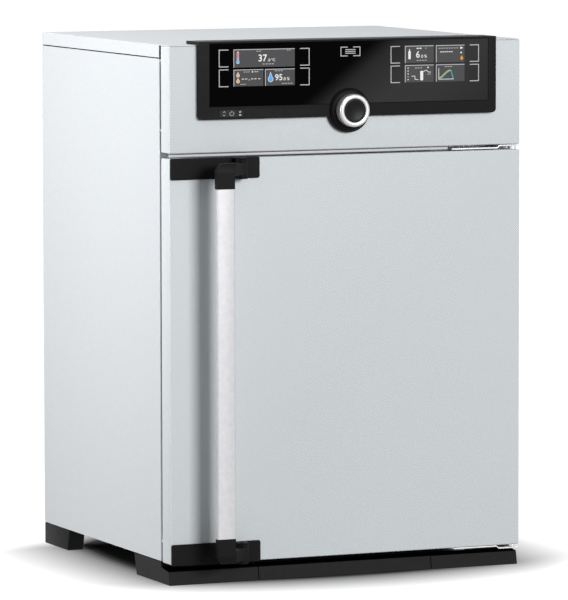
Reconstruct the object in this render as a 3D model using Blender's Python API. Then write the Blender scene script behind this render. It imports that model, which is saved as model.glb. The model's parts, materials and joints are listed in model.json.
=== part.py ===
"""Bench-top carbon dioxide incubator: double-walled case, heated chamber, glass and outer door.

Sizes are in metres. X runs to the right seen from the front, Y to the rear and Z up.
The origin is the centre of the footprint on the bench, handle and hose nipples included.
"""
import math

import bmesh
import bpy

# Sheet, fits and what stands in front of and behind the case
SHEET = 0.0012
FIT = 0.0003
HANDLE_REACH = 0.056
NIPPLE_REACH = 0.010
EDGE_ROUND = 0.0015
CORNER_ROUND = 0.002

# Outer door, its seal and the control fascia above it
DOOR_THICKNESS = 0.032
DOOR_MARGIN = 0.0866
DOOR_DROP = 0.0017
DOOR_GAP = 0.0082
FASCIA_HEIGHT = 0.1583
SEAL_SPACE = 0.0074
SEAL_WIDTH = 0.012
SEAL_INSET = 0.028
TOP_LIP = 0.019
SIDE_RETURN = 0.018
FLANGE = 0.012
SIDE_WALL = 0.084

# Feet and plinth
FOOT_HEIGHT = 0.033
FOOT_WIDTH = 0.026
FRONT_FOOT_TOE = 0.005
FRONT_FOOT_HEEL = 0.137
FRONT_FOOT_TOP_HEEL = 0.146
REAR_FOOT_TOE = 0.422
REAR_FOOT_TOP_TOE = 0.414
PLINTH_HEIGHT = 0.0204
PLINTH_SLOPE = 0.004
PLINTH_DEPTH = 0.025
FOOT_RUN = 0.143

# Chamber
CHAMBER_WIDTH = 0.400
CHAMBER_HEIGHT = 0.425
CHAMBER_DEPTH = 0.330
CHAMBER_RADIUS = 0.020
JAMB_DEPTH = 0.0106
LINER_FLANGE = 0.010
RIB_COUNT = 5
RIB_PITCH = 0.070
RIB_HEIGHT = 0.012
RIB_DEPTH = 0.007
RIB_START = 0.022
RIB_RUNOUT = 0.006
HEATER_THICKNESS = 0.0015
HEATER_MARGIN = 0.012
INSULATION_BACK = 0.060
REAR_SPACE = 0.0807
SHELF_RIBS = {"lower": 1, "upper": 3}
SHELF_SETBACK = 0.012
SHELF_RIM = 0.008
SHELF_SIDE_CLEARANCE = 0.0015
SLOT_ROWS = 4
SLOT_COLUMNS = 9
SLOT_WIDTH = 0.012
SLOT_MARGIN = 0.022

# Glass door in front of the chamber
GLASS_OVERLAP = 0.026
GLASS_THICKNESS = 0.005
GLASS_SETBACK = 0.0023
GLASS_CLEARANCE = 0.0015
GLASS_RADIUS = 0.006
GLASS_SEAL_WIDTH = 0.006
GLASS_SEAL_INSET = 0.002
GLASS_HINGE_INSET = 0.0065
GLASS_HINGE_HEIGHT = 0.040
GLASS_HINGE_SPREAD = 0.150
GLASS_PIN_RADIUS = 0.002
CLIP_WALL = 0.0015
CLIP_GRIP = 0.0045
CLIP_KNUCKLE = 0.0038
LATCH_HUB_RADIUS = 0.006
LATCH_ARM = 0.018
LATCH_HEIGHT = 0.004
LATCH_OFFSET = 0.008

# Fan, sensors and supplies behind the chamber
FAN_COVER_MARGIN = 0.055
FAN_COVER_HEIGHT = 0.290
FAN_COVER_DEPTH = 0.039
FAN_RADIUS = 0.062
FAN_WIDTH = 0.020
FAN_BLADES = 10
FAN_HUB_RADIUS = 0.014
FAN_SHAFT_RADIUS = 0.004
FAN_MOTOR_RADIUS = 0.034
FAN_MOTOR_LENGTH = 0.050
INTAKE_HOLES = 8
INTAKE_HOLE_RADIUS = 0.009
INTAKE_RING_RADIUS = 0.034
OUTLET_WIDTH = 0.010
SENSOR_INSET_X = 0.028
SENSOR_INSET_Z = 0.053
SENSOR_RADIUS = 0.0075
SENSOR_REACH = 0.020
PROBE_RADIUS = 0.003
PROBE_REACH = 0.040
SUPPLY_INSET_Z = 0.082
NOZZLE_RADIUS = 0.004
NOZZLE_REACH = 0.005
STEAM_RADIUS = 0.028
STEAM_HEIGHT = 0.090
VALVE_SIZE = 0.040
BORE_CLEARANCE = 0.0005

# Controls
BEZEL_WIDTH = 0.4815
BEZEL_DROP = 0.1093
BEZEL_DEPTH = 0.008
BEZEL_LIP = 0.0047
BEZEL_LIP_REACH = 0.040
BEZEL_RADIUS = 0.006
BEZEL_BULGE = 0.004
PANE_WIDTH = 0.451
PANE_SHIFT = 0.0022
PANE_DROP = 0.0905
PANE_HEIGHT = 0.0925
PANE_THICKNESS = 0.003
DISPLAY_WIDTH = 0.0973
DISPLAY_HEIGHT = 0.0537
DISPLAY_DROP = 0.0613
DISPLAY_DEPTH = 0.0026
DISPLAY_CENTRES = {"left": -0.1364, "right": 0.1399}
DIAL_DROP = 0.100
DIAL_SEAT_RADIUS = 0.032
DIAL_SEAT_DEPTH = 0.006
DIAL_RADIUS = 0.0244
DIAL_BORE = 0.0173
DIAL_FRONT = 0.031
DIAL_WEB = 0.003
SPINDLE_RADIUS = 0.005
ENCODER_SIZE = 0.026
ENCODER_DEPTH = 0.017
CONFIRM_TRAVEL = 0.001
CONFIRM_THICKNESS = 0.0065
POWER_KEY_WIDTH = 0.0378
POWER_KEY_HEIGHT = 0.011
POWER_KEY_X = -0.1889
POWER_KEY_DROP = 0.1065
POWER_TRAVEL = 0.001
BOARD_WIDTH = 0.240
BOARD_HEIGHT = 0.075
BOARD_THICKNESS = 0.0016
CHIP_SIZES = (0.018, 0.026, 0.014)
CHIP_HEIGHT = 0.003
SUPPLY_BOX_WIDTH = 0.140
SUPPLY_BOX_DEPTH = 0.130
SUPPLY_BOX_HEIGHT = 0.050
FIN_COUNT = 7
FIN_DEPTH = 0.014

# Handle
BAR_WIDTH = 0.0282
BAR_THICKNESS = 0.010
BAR_INSET = 0.0663
BAR_END_INSET = 0.0421
BRACKET_WIDTH = 0.142
BRACKET_HEIGHT = 0.0315
BRACKET_THICKNESS = 0.003
BRACKET_OVERHANG = 0.0012
BRACKET_RADIUS = 0.003
EAR_THICKNESS = 0.0028
PIVOT_INSET = 0.108
PIVOT_REACH = 0.0135
HUB_RADIUS = 0.0095
TRUNNION_RADIUS = 0.0035
ARM_HEIGHT = 0.020

# Main hinge
HINGE_INSET_X = 0.008
HINGE_INSET_Y = 0.010
HINGE_PIN_RADIUS = 0.004
HINGE_PIN_DEPTH = 0.020
STRIP_THICKNESS = 0.0025
STRIP_JOGGLE = 0.0034
STRIP_FRONT = 0.003
UPPER_STRIP_LENGTH = 0.111
UPPER_JOGGLE_INSET = 0.0353
LOWER_STRIP_LENGTH = 0.106
LOWER_JOGGLE_INSET = 0.036

# Rear connections
INLET_INSET = 0.104
INLET_DROP = 0.096
INLET_WIDTH = 0.0274
INLET_HEIGHT = 0.0200
INLET_WALL = 0.0025
INLET_DEPTH = 0.018
INLET_RIM = 0.005
INLET_RIM_DEPTH = 0.002
INLET_PIN_LENGTH = 0.009
VENT_COUNT = 8
VENT_WIDTH = 0.004
VENT_HEIGHT = 0.045
VENT_PITCH = 0.012
VENT_DROP = 0.076

# Planes that several pieces share
HALF_WIDTH = CHAMBER_WIDTH / 2 + SIDE_WALL
CASE_DEPTH = (DOOR_THICKNESS + SEAL_SPACE + JAMB_DEPTH + FIT + CHAMBER_DEPTH + INSULATION_BACK
              + REAR_SPACE)
DOOR_FRONT = (HANDLE_REACH - CASE_DEPTH - NIPPLE_REACH) / 2
DOOR_BACK = DOOR_FRONT + DOOR_THICKNESS
CASE_FRONT = DOOR_BACK + SEAL_SPACE
CASE_BACK = DOOR_FRONT + CASE_DEPTH
DOOR_HEIGHT = CHAMBER_HEIGHT + 2 * DOOR_MARGIN
DOOR_BOTTOM = FOOT_HEIGHT - DOOR_DROP
DOOR_TOP = DOOR_BOTTOM + DOOR_HEIGHT
FASCIA_BOTTOM = DOOR_TOP + DOOR_GAP
CASE_HEIGHT = FASCIA_BOTTOM + FASCIA_HEIGHT
FASCIA_TOP = CASE_HEIGHT - SHEET - FIT
LIP_BOTTOM = CASE_HEIGHT - TOP_LIP
INNER_HALF = HALF_WIDTH - SHEET - FIT
CHAMBER_HALF = CHAMBER_WIDTH / 2
CHAMBER_BOTTOM = DOOR_BOTTOM + DOOR_MARGIN
CHAMBER_MIDDLE = CHAMBER_BOTTOM + CHAMBER_HEIGHT / 2
FLANGE_FRONT = CASE_FRONT + JAMB_DEPTH + FIT
CHAMBER_BACK = FLANGE_FRONT + CHAMBER_DEPTH
CAVITY_CLEARANCE = SHEET + HEATER_THICKNESS + 2 * FIT
INSULATION_REAR = CHAMBER_BACK + INSULATION_BACK
COMPARTMENT_FRONT = INSULATION_REAR + FIT
GLASS_FRONT = CASE_FRONT + GLASS_SETBACK
GLASS_BACK = GLASS_FRONT + GLASS_THICKNESS
RECESS_HALF = CHAMBER_HALF + GLASS_OVERLAP
RECESS_HALF_HEIGHT = CHAMBER_HEIGHT / 2 + GLASS_OVERLAP
GLASS_AXIS = (RECESS_HALF - GLASS_HINGE_INSET, GLASS_FRONT + GLASS_THICKNESS / 2)
GLASS_RIGHT = GLASS_AXIS[0] - CLIP_KNUCKLE - CLIP_WALL
DOOR_AXIS = (HALF_WIDTH - HINGE_INSET_X, DOOR_FRONT + HINGE_INSET_Y)
PIVOT = (PIVOT_INSET - HALF_WIDTH, DOOR_FRONT - PIVOT_REACH)
BAR_X = BAR_INSET - HALF_WIDTH
BAR_BOTTOM = DOOR_BOTTOM + BAR_END_INSET
BAR_TOP = DOOR_TOP - BAR_END_INSET
BEZEL_BOTTOM = CASE_HEIGHT - BEZEL_DROP
PANE_BOTTOM = CASE_HEIGHT - PANE_DROP
DISPLAY_BOTTOM = CASE_HEIGHT - DISPLAY_DROP
DIAL_HEIGHT = CASE_HEIGHT - DIAL_DROP
POWER_KEY_BOTTOM = CASE_HEIGHT - POWER_KEY_DROP
INLET_X = HALF_WIDTH - INLET_INSET
INLET_Z = CASE_HEIGHT - INLET_DROP
VENT_TOP = CASE_HEIGHT - VENT_DROP
FAN_COVER_HALF = (CHAMBER_WIDTH - 2 * FAN_COVER_MARGIN) / 2
SENSOR_X = CHAMBER_HALF - SENSOR_INSET_X
SENSOR_Z = CHAMBER_BOTTOM + CHAMBER_HEIGHT - SENSOR_INSET_Z
SUPPLY_X = SENSOR_X
SUPPLY_Z = CHAMBER_BOTTOM + SUPPLY_INSET_Z
BEZEL_FRONT = DOOR_FRONT - BEZEL_DEPTH
BEZEL_LEFT = -BEZEL_WIDTH / 2
BEZEL_RIGHT = BEZEL_WIDTH / 2
SEAT_FRONT = BEZEL_FRONT - FIT - DIAL_SEAT_DEPTH
DIAL_FACE = DOOR_FRONT - DIAL_FRONT
DIAL_REAR = SEAT_FRONT - FIT
WEB_REAR = DIAL_REAR - DIAL_WEB
SPINDLE_END = WEB_REAR - DIAL_WEB - DIAL_WEB / 2
CONFIRM_FACE = SPINDLE_END - FIT - CONFIRM_TRAVEL - CONFIRM_THICKNESS
SPINDLE_BORE = SPINDLE_RADIUS + BORE_CLEARANCE + FIT
FAN_COVER_FRONT = CHAMBER_BACK - FIT - FAN_COVER_DEPTH
SHELF_FRONT = FLANGE_FRONT + SHELF_SETBACK
SHELF_BACK = FAN_COVER_FRONT - FIT - SHELF_SIDE_CLEARANCE


def clear_scene():
    """Remove every object of the open file."""
    for item in list(bpy.data.objects):
        bpy.data.objects.remove(item, do_unlink=True)


def finish_material(name, colour, roughness, metallic=0.0):
    """Give a Principled material of one colour."""
    found = bpy.data.materials.get(name)
    if found:
        return found
    made = bpy.data.materials.new(name)
    made.use_nodes = True
    shader = made.node_tree.nodes["Principled BSDF"]
    shader.inputs["Base Color"].default_value = (*colour, 1.0)
    shader.inputs["Roughness"].default_value = roughness
    shader.inputs["Metallic"].default_value = metallic
    made.diffuse_color = (*colour, 1.0)
    return made


def stainless():
    """Textured stainless sheet."""
    return finish_material("stainless", (0.72, 0.75, 0.76), 0.38, 0.6)


def polished():
    """Bright metal."""
    return finish_material("bright_metal", (0.80, 0.80, 0.81), 0.22, 0.9)


def zinc():
    """Zinc-plated sheet."""
    return finish_material("zinc_plate", (0.60, 0.62, 0.63), 0.45, 0.8)


def black_plastic():
    """Matt black moulding."""
    return finish_material("black_plastic", (0.030, 0.030, 0.032), 0.45)


def silicone():
    """Seal rubber."""
    return finish_material("seal_rubber", (0.16, 0.16, 0.17), 0.7)


def wool():
    """Insulation."""
    return finish_material("insulation", (0.78, 0.74, 0.58), 0.95)


def glass():
    """Clear door glass."""
    return finish_material("clear_glass", (0.85, 0.93, 0.92), 0.05)


def gloss_black():
    """Black printed glass."""
    return finish_material("black_glass", (0.008, 0.008, 0.009), 0.06)


def screen():
    """Display surface."""
    return finish_material("display", (0.09, 0.09, 0.10), 0.25)


def board():
    """Circuit board."""
    return finish_material("circuit_board", (0.05, 0.25, 0.12), 0.5)


def finished(name, bm, material, anchor=None, smooth=False, soften=0.0):
    """Turn a bmesh in world places into a named object under its anchor."""
    bmesh.ops.recalc_face_normals(bm, faces=bm.faces)
    mesh = bpy.data.meshes.new(name)
    if anchor:
        origin = anchor.location.copy()
    else:
        low = [min(vert.co[k] for vert in bm.verts) for k in range(3)]
        high = [max(vert.co[k] for vert in bm.verts) for k in range(3)]
        origin = [(a + b) / 2 for a, b in zip(low, high)]
    for vert in bm.verts:
        for k in range(3):
            vert.co[k] -= origin[k]
    bm.to_mesh(mesh)
    bm.free()
    mesh.materials.append(material)
    if smooth:
        mesh.shade_smooth()
        mesh.set_sharp_from_angle(angle=math.radians(35))
    item = bpy.data.objects.new(name, mesh)
    bpy.context.scene.collection.objects.link(item)
    if anchor:
        item.parent = anchor
    else:
        item.location = origin
    if soften:
        bevel = item.modifiers.new("edge_round", "BEVEL")
        bevel.width = soften
        bevel.segments = 2
        bevel.limit_method = "ANGLE"
        bevel.angle_limit = math.radians(50)
    return item


def tool_shape(name, bm):
    """Keep a bmesh as a hidden shape for a Boolean."""
    item = finished(name, bm, black_plastic())
    item.hide_render = True
    item.display_type = "WIRE"
    return item


def combine(item, shape, operation):
    """Cut a shape from an object, or join it on, ahead of its edge rounding."""
    step = item.modifiers.new(shape.name, "BOOLEAN")
    step.object = shape
    step.operation = operation
    step.solver = "EXACT"
    rounding = item.modifiers.find("edge_round")
    if rounding >= 0:
        item.modifiers.move(len(item.modifiers) - 1, rounding)


def cut(item, bm):
    """Cut the shapes of a bmesh from an object."""
    combine(item, tool_shape(item.name + "_cutter", bm), "DIFFERENCE")


def join(item, bm):
    """Join the shapes of a bmesh to an object."""
    combine(item, tool_shape(item.name + "_addition", bm), "UNION")


def joint_anchor(name, place):
    """Empty on a joint's axis, which its moving pieces hang from."""
    empty = bpy.data.objects.new(name, None)
    empty.location = place
    bpy.context.scene.collection.objects.link(empty)
    return empty


def spatial(pair, depth, axis):
    """Point from its two plane values and its value along an axis."""
    values = list(pair)
    values.insert("XYZ".index(axis), depth)
    return values


def loft(bm, loops, closed=False):
    """Skin a row of loops with equal point counts; a closed row makes a ring."""
    rings = [[bm.verts.new(point) for point in loop] for loop in loops]
    pairs = list(zip(rings, rings[1:]))
    if closed:
        pairs.append((rings[-1], rings[0]))
    else:
        bm.faces.new(rings[0])
        bm.faces.new(rings[-1])
    for first, second in pairs:
        for k, vert in enumerate(first):
            after = (k + 1) % len(first)
            bm.faces.new((vert, first[after], second[after], second[k]))
    return rings


def prism(bm, outline, axis, start, end):
    """Outline in the plane across an axis, extruded along it."""
    return loft(bm, [[spatial(pair, depth, axis) for pair in outline] for depth in (start, end)])


def branched_prism(bm, outline, axis, start, end, caps, reach):
    """Prism whose end is split into caps; the first cap runs on to reach."""
    rings = prism(bm, outline, axis, start, end)
    whole = [face for face in bm.faces if all(vert in rings[1] for vert in face.verts)]
    bmesh.ops.delete(bm, geom=whole, context="FACES_ONLY")
    for cap in caps[1:]:
        bm.faces.new([rings[1][k] for k in cap])
    near = [rings[1][k] for k in caps[0]]
    far = [bm.verts.new(spatial(outline[k], reach, axis)) for k in caps[0]]
    for k, vert in enumerate(near):
        after = (k + 1) % len(near)
        bm.faces.new((vert, near[after], far[after], far[k]))
    bm.faces.new(far)


def rectangle(low, high):
    """Corners of a rectangle."""
    return [(low[0], low[1]), (high[0], low[1]), (high[0], high[1]), (low[0], high[1])]


def arc(centre, radius, start, end, steps):
    """Points of an arc, angles in degrees."""
    points = []
    for k in range(steps + 1):
        angle = math.radians(start + (end - start) * k / steps)
        points.append((centre[0] + radius * math.cos(angle), centre[1] + radius * math.sin(angle)))
    return points


def rounded(low, high, radius, steps=3):
    """Rectangle with round corners."""
    outline = []
    corners = ((high[0], low[1], -90), (high[0], high[1], 0), (low[0], high[1], 90),
               (low[0], low[1], 180))
    for x, y, start in corners:
        centre = (x - radius if x == high[0] else x + radius,
                  y - radius if y == high[1] else y + radius)
        outline += arc(centre, radius, start, start + 90, steps)
    return outline


def block(bm, low, high):
    """Rectangular block."""
    return prism(bm, rectangle(low[:2], high[:2]), "Z", low[2], high[2])


def cylinder(bm, centre, radius, axis, start, end, steps=16):
    """Round bar along an axis; the centre has the two plane values."""
    return prism(bm, arc(centre, radius, 0, 360 - 360 / steps, steps - 1), axis, start, end)


def turned(bm, centre, axis, profile, steps=24, bored=False):
    """Profile of radius and depth turned about an axis; a bored one is a ring."""
    loops = []
    for radius, depth in profile:
        outline = arc(centre, radius, 0, 360 - 360 / steps, steps - 1)
        loops.append([spatial(pair, depth, axis) for pair in outline])
    return loft(bm, loops, closed=bored)


def frame_ring(bm, middle, section, axis):
    """Section of half width, half height and depth swept round a rectangle."""
    loops = []
    for half_width, half_height, depth in section:
        low = (middle[0] - half_width, middle[1] - half_height)
        high = (middle[0] + half_width, middle[1] + half_height)
        loops.append([spatial(pair, depth, axis) for pair in rectangle(low, high)])
    return loft(bm, loops, closed=True)


def pan(bm, low, high, open_side, wall):
    """Box shell that is open on one side, such as +Y."""
    k = "XYZ".index(open_side[1])
    plane = [index for index in range(3) if index != k]
    floor, rim = (low[k], high[k]) if open_side[0] == "+" else (high[k], low[k])
    inward = wall if open_side[0] == "+" else -wall
    outer = rectangle([low[i] for i in plane], [high[i] for i in plane])
    inner = rectangle([low[i] + wall for i in plane], [high[i] - wall for i in plane])
    levels = ((outer, floor), (outer, rim), (inner, rim), (inner, floor + inward))
    return loft(bm, [[spatial(pair, depth, open_side[1]) for pair in outline]
                     for outline, depth in levels])


def skin_pan(bm, low, high, wall):
    """Folded sheet pan that is open to the rear, with soft front edges and corners."""
    front, back, small = low[1], high[1], EDGE_ROUND * 0.3
    levels = ((EDGE_ROUND, front), (small, front + small), (0.0, front + EDGE_ROUND), (0.0, back),
              (wall, back), (wall, front + EDGE_ROUND), (EDGE_ROUND + wall * 0.3, front + wall))
    loops = []
    for inset, depth in levels:
        outline = rounded((low[0] + inset, low[2] + inset), (high[0] - inset, high[2] - inset),
                          max(CORNER_ROUND - inset, wall / 4), 2)
        loops.append([spatial(pair, depth, "Y") for pair in outline])
    loft(bm, loops)


def new_shape():
    """Empty bmesh."""
    return bmesh.new()


def add_feet():
    """Four moulded feet; the front pair turns the corner into the plinth."""
    top = FOOT_HEIGHT - FIT
    slope = DOOR_FRONT + FRONT_FOOT_TOE + PLINTH_SLOPE
    case_edge = CASE_FRONT
    step = CASE_FRONT - FIT - SHEET
    run_back = DOOR_FRONT + FRONT_FOOT_TOE + PLINTH_DEPTH
    rise = PLINTH_HEIGHT + (run_back - slope) / (step - slope) * PLINTH_SLOPE
    front = [(DOOR_FRONT + FRONT_FOOT_TOE, 0), (run_back, 0), (DOOR_FRONT + FRONT_FOOT_HEEL, 0),
             (DOOR_FRONT + FRONT_FOOT_TOP_HEEL, top), (case_edge, top),
             (step, PLINTH_HEIGHT + PLINTH_SLOPE), (run_back, rise), (slope, PLINTH_HEIGHT)]
    rear = [(DOOR_FRONT + REAR_FOOT_TOE, 0), (CASE_BACK, 0), (CASE_BACK, top),
            (DOOR_FRONT + REAR_FOOT_TOP_TOE, top)]
    seam = HALF_WIDTH - FOOT_RUN
    for side, sign in (("left", -1), ("right", 1)):
        outer, inner = sign * HALF_WIDTH, sign * (HALF_WIDTH - FOOT_WIDTH)
        bm = new_shape()
        branched_prism(bm, front, "X", outer, inner, [(0, 1, 6, 7), (1, 2, 3, 4, 5, 6)],
                       sign * seam)
        finished(f"foot_front_{side}", bm, black_plastic())
        bm = new_shape()
        prism(bm, rear, "X", outer, inner)
        finished(f"foot_rear_{side}", bm, black_plastic(), soften=EDGE_ROUND)
    bar = [(DOOR_FRONT + FRONT_FOOT_TOE, 0), (run_back, 0), (run_back, rise), (slope, PLINTH_HEIGHT)]
    bm = new_shape()
    prism(bm, bar, "X", FIT - seam, seam - FIT)
    finished("plinth_bar", bm, black_plastic())


def add_case():
    """Outer shells of the case."""
    for side, sign in (("left", -1), ("right", 1)):
        outline = [(sign * HALF_WIDTH, CASE_FRONT), (sign * (HALF_WIDTH - SIDE_RETURN), CASE_FRONT),
                   (sign * (HALF_WIDTH - SIDE_RETURN), CASE_FRONT + SHEET),
                   (sign * (HALF_WIDTH - SHEET), CASE_FRONT + SHEET),
                   (sign * (HALF_WIDTH - SHEET), CASE_BACK), (sign * HALF_WIDTH, CASE_BACK)]
        bm = new_shape()
        prism(bm, outline, "Z", FOOT_HEIGHT, LIP_BOTTOM - FIT)
        finished(f"side_panel_{side}", bm, stainless())
    top, under, inner = CASE_HEIGHT, CASE_HEIGHT - SHEET, HALF_WIDTH - SHEET
    section = [(-HALF_WIDTH, LIP_BOTTOM), (-HALF_WIDTH, under), (-HALF_WIDTH, top), (HALF_WIDTH, top),
               (HALF_WIDTH, under), (HALF_WIDTH, LIP_BOTTOM), (inner, LIP_BOTTOM), (inner, under),
               (-inner, under), (-inner, LIP_BOTTOM)]
    bm = new_shape()
    branched_prism(bm, section, "Y", CASE_BACK, CASE_FRONT,
                   [(1, 2, 3, 4, 7, 8), (0, 1, 8, 9), (4, 5, 6, 7)], DOOR_FRONT)
    finished("top_cover", bm, stainless())
    bm = new_shape()
    pan(bm, (-INNER_HALF, CASE_FRONT + SHEET + FIT, FOOT_HEIGHT),
        (INNER_HALF, CASE_BACK - SHEET - FIT, FOOT_HEIGHT + FLANGE), "+Z", SHEET)
    finished("floor_pan", bm, zinc())
    add_rear_panel()
    add_front_frame()


def rear_ports():
    """Centre of each hose nipple in X and Z."""
    return ((SUPPLY_X, SUPPLY_Z), (-SUPPLY_X, SUPPLY_Z))


def add_rear_panel():
    """Rear panel with vents, mains cut-out and nipple holes."""
    bm = new_shape()
    pan(bm, (-INNER_HALF, CASE_BACK - SHEET - FLANGE, FOOT_HEIGHT + FLANGE + FIT),
        (INNER_HALF, CASE_BACK, FASCIA_TOP), "-Y", SHEET)
    panel = finished("rear_panel", bm, zinc())
    start, end = CASE_BACK - FLANGE / 2, CASE_BACK + FLANGE
    bm = new_shape()
    for k in range(VENT_COUNT):
        x = (k - (VENT_COUNT - 1) / 2) * VENT_PITCH
        prism(bm, rectangle((x - VENT_WIDTH / 2, VENT_TOP - VENT_HEIGHT), (x + VENT_WIDTH / 2, VENT_TOP)),
              "Y", start, end)
    half = (INLET_WIDTH / 2 + INLET_WALL + FIT, INLET_HEIGHT / 2 + INLET_WALL + FIT)
    prism(bm, rectangle((INLET_X - half[0], INLET_Z - half[1]), (INLET_X + half[0], INLET_Z + half[1])),
          "Y", start, end)
    for port in rear_ports():
        cylinder(bm, port, NOZZLE_RADIUS + BORE_CLEARANCE, "Y", start, end)
    cut(panel, bm)


def add_front_frame():
    """Folded frame with the recess for the glass door."""
    low, high = FOOT_HEIGHT + FIT, FASCIA_BOTTOM + FLANGE
    outer = (HALF_WIDTH - SIDE_RETURN - FIT, (high - low) / 2)
    middle_z = (high + low) / 2
    shift = CHAMBER_MIDDLE - middle_z
    back, jamb = CASE_FRONT + SHEET, CASE_FRONT + JAMB_DEPTH
    section = [(outer[0], outer[1], 0, CASE_FRONT), (RECESS_HALF, RECESS_HALF_HEIGHT, shift, CASE_FRONT),
               (RECESS_HALF, RECESS_HALF_HEIGHT, shift, jamb),
               (RECESS_HALF + SHEET, RECESS_HALF_HEIGHT + SHEET, shift, jamb),
               (RECESS_HALF + SHEET, RECESS_HALF_HEIGHT + SHEET, shift, back),
               (outer[0], outer[1], 0, back)]
    loops = []
    for half_width, half_height, offset, depth in section:
        z = middle_z + offset
        corners = rectangle((-half_width, z - half_height), (half_width, z + half_height))
        loops.append([spatial(pair, depth, "Y") for pair in corners])
    bm = new_shape()
    loft(bm, loops, closed=True)
    finished("front_frame", bm, stainless())


def chamber_outline(grow, ribbed):
    """Chamber outline in X and Z, grown outwards; ribbed walls bear the shelf ribs."""
    half = CHAMBER_HALF + grow
    low, high = CHAMBER_BOTTOM - grow, CHAMBER_BOTTOM + CHAMBER_HEIGHT + grow
    radius = CHAMBER_RADIUS + grow
    inward = RIB_DEPTH if ribbed else 0.0
    right = []
    for k in range(RIB_COUNT):
        middle = rib_height(k)
        right += [(half, middle - RIB_HEIGHT), (half - inward, middle - RIB_HEIGHT / 2),
                  (half - inward, middle + RIB_HEIGHT / 2 - RIB_HEIGHT / 6), (half, middle + RIB_HEIGHT / 2)]
    outline = arc((half - radius, low + radius), radius, -90, 0, 3) + right
    outline += arc((half - radius, high - radius), radius, 0, 90, 3)
    outline += arc((radius - half, high - radius), radius, 90, 180, 3)
    outline += [(-x, z) for x, z in reversed(right)]
    outline += arc((radius - half, low + radius), radius, 180, 270, 3)
    return outline


def rib_height(k):
    """Middle height of shelf rib k, counted from the bottom."""
    return CHAMBER_MIDDLE + (k - (RIB_COUNT - 1) / 2) * RIB_PITCH


def chamber_loop(grow, ribbed, depth):
    """Chamber outline as points at one depth."""
    return [spatial(pair, depth, "Y") for pair in chamber_outline(grow, ribbed)]


def wall_openings(bm):
    """Holes through the chamber's back for the shaft, nozzles and sensors."""
    holes = [(0.0, CHAMBER_MIDDLE, FAN_SHAFT_RADIUS), (SENSOR_X, SENSOR_Z, PROBE_RADIUS),
             (-SENSOR_X, SENSOR_Z, SENSOR_RADIUS)]
    holes += [(x, z, NOZZLE_RADIUS) for x, z in rear_ports()]
    for x, z, radius in holes:
        cylinder(bm, (x, z), radius + BORE_CLEARANCE, "Y", CHAMBER_BACK - FLANGE, INSULATION_REAR + FLANGE)


def add_chamber():
    """Deep-drawn liner, its heating mat and the insulation round them."""
    back = CHAMBER_BACK
    ribs_in, ribs_out = FLANGE_FRONT + RIB_START, back - RIB_START
    loops = [chamber_loop(SHEET, False, back + SHEET), chamber_loop(SHEET, False, ribs_out + RIB_RUNOUT),
             chamber_loop(SHEET, True, ribs_out), chamber_loop(SHEET, True, ribs_in),
             chamber_loop(SHEET, False, ribs_in - RIB_RUNOUT),
             chamber_loop(SHEET, False, FLANGE_FRONT + SHEET),
             chamber_loop(GLASS_OVERLAP + LINER_FLANGE, False, FLANGE_FRONT + SHEET),
             chamber_loop(GLASS_OVERLAP + LINER_FLANGE, False, FLANGE_FRONT),
             chamber_loop(0, False, FLANGE_FRONT), chamber_loop(0, False, ribs_in - RIB_RUNOUT),
             chamber_loop(0, True, ribs_in), chamber_loop(0, True, ribs_out),
             chamber_loop(0, False, ribs_out + RIB_RUNOUT), chamber_loop(0, False, back)]
    bm = new_shape()
    loft(bm, loops)
    liner = finished("chamber_liner", bm, polished())
    bm = new_shape()
    wall_openings(bm)
    cut(liner, bm)

    inner, outer = SHEET + FIT, SHEET + FIT + HEATER_THICKNESS
    start, end = FLANGE_FRONT + HEATER_MARGIN, back - HEATER_MARGIN
    rings = []
    for grow, depth in ((outer, start), (outer, end), (inner, end), (inner, start)):
        low = (-CHAMBER_HALF - grow, CHAMBER_BOTTOM - grow)
        high = (CHAMBER_HALF + grow, CHAMBER_BOTTOM + CHAMBER_HEIGHT + grow)
        rings.append([spatial(pair, depth, "Y") for pair in rounded(low, high, CHAMBER_RADIUS + grow)])
    bm = new_shape()
    loft(bm, rings, closed=True)
    finished("chamber_heater", bm, silicone())

    front = FLANGE_FRONT + SHEET + FIT
    cavity = CAVITY_CLEARANCE
    low = (-CHAMBER_HALF - cavity, CHAMBER_BOTTOM - cavity)
    high = (CHAMBER_HALF + cavity, CHAMBER_BOTTOM + CHAMBER_HEIGHT + cavity)
    hollow = rounded(low, high, CHAMBER_RADIUS + cavity)
    outside = rounded((-INNER_HALF, FOOT_HEIGHT + SHEET + FIT), (INNER_HALF, FASCIA_BOTTOM), FLANGE)
    inset = SHEET + FIT
    outside = [(x - math.copysign(inset, x), z) for x, z in outside]
    bm = new_shape()
    loft(bm, [[spatial(pair, depth, "Y") for pair in outline] for outline, depth in
              ((outside, INSULATION_REAR), (outside, front), (hollow, front), (hollow, back + cavity))])
    body = finished("insulation", bm, wool())
    bm = new_shape()
    wall_openings(bm)
    cut(body, bm)


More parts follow.
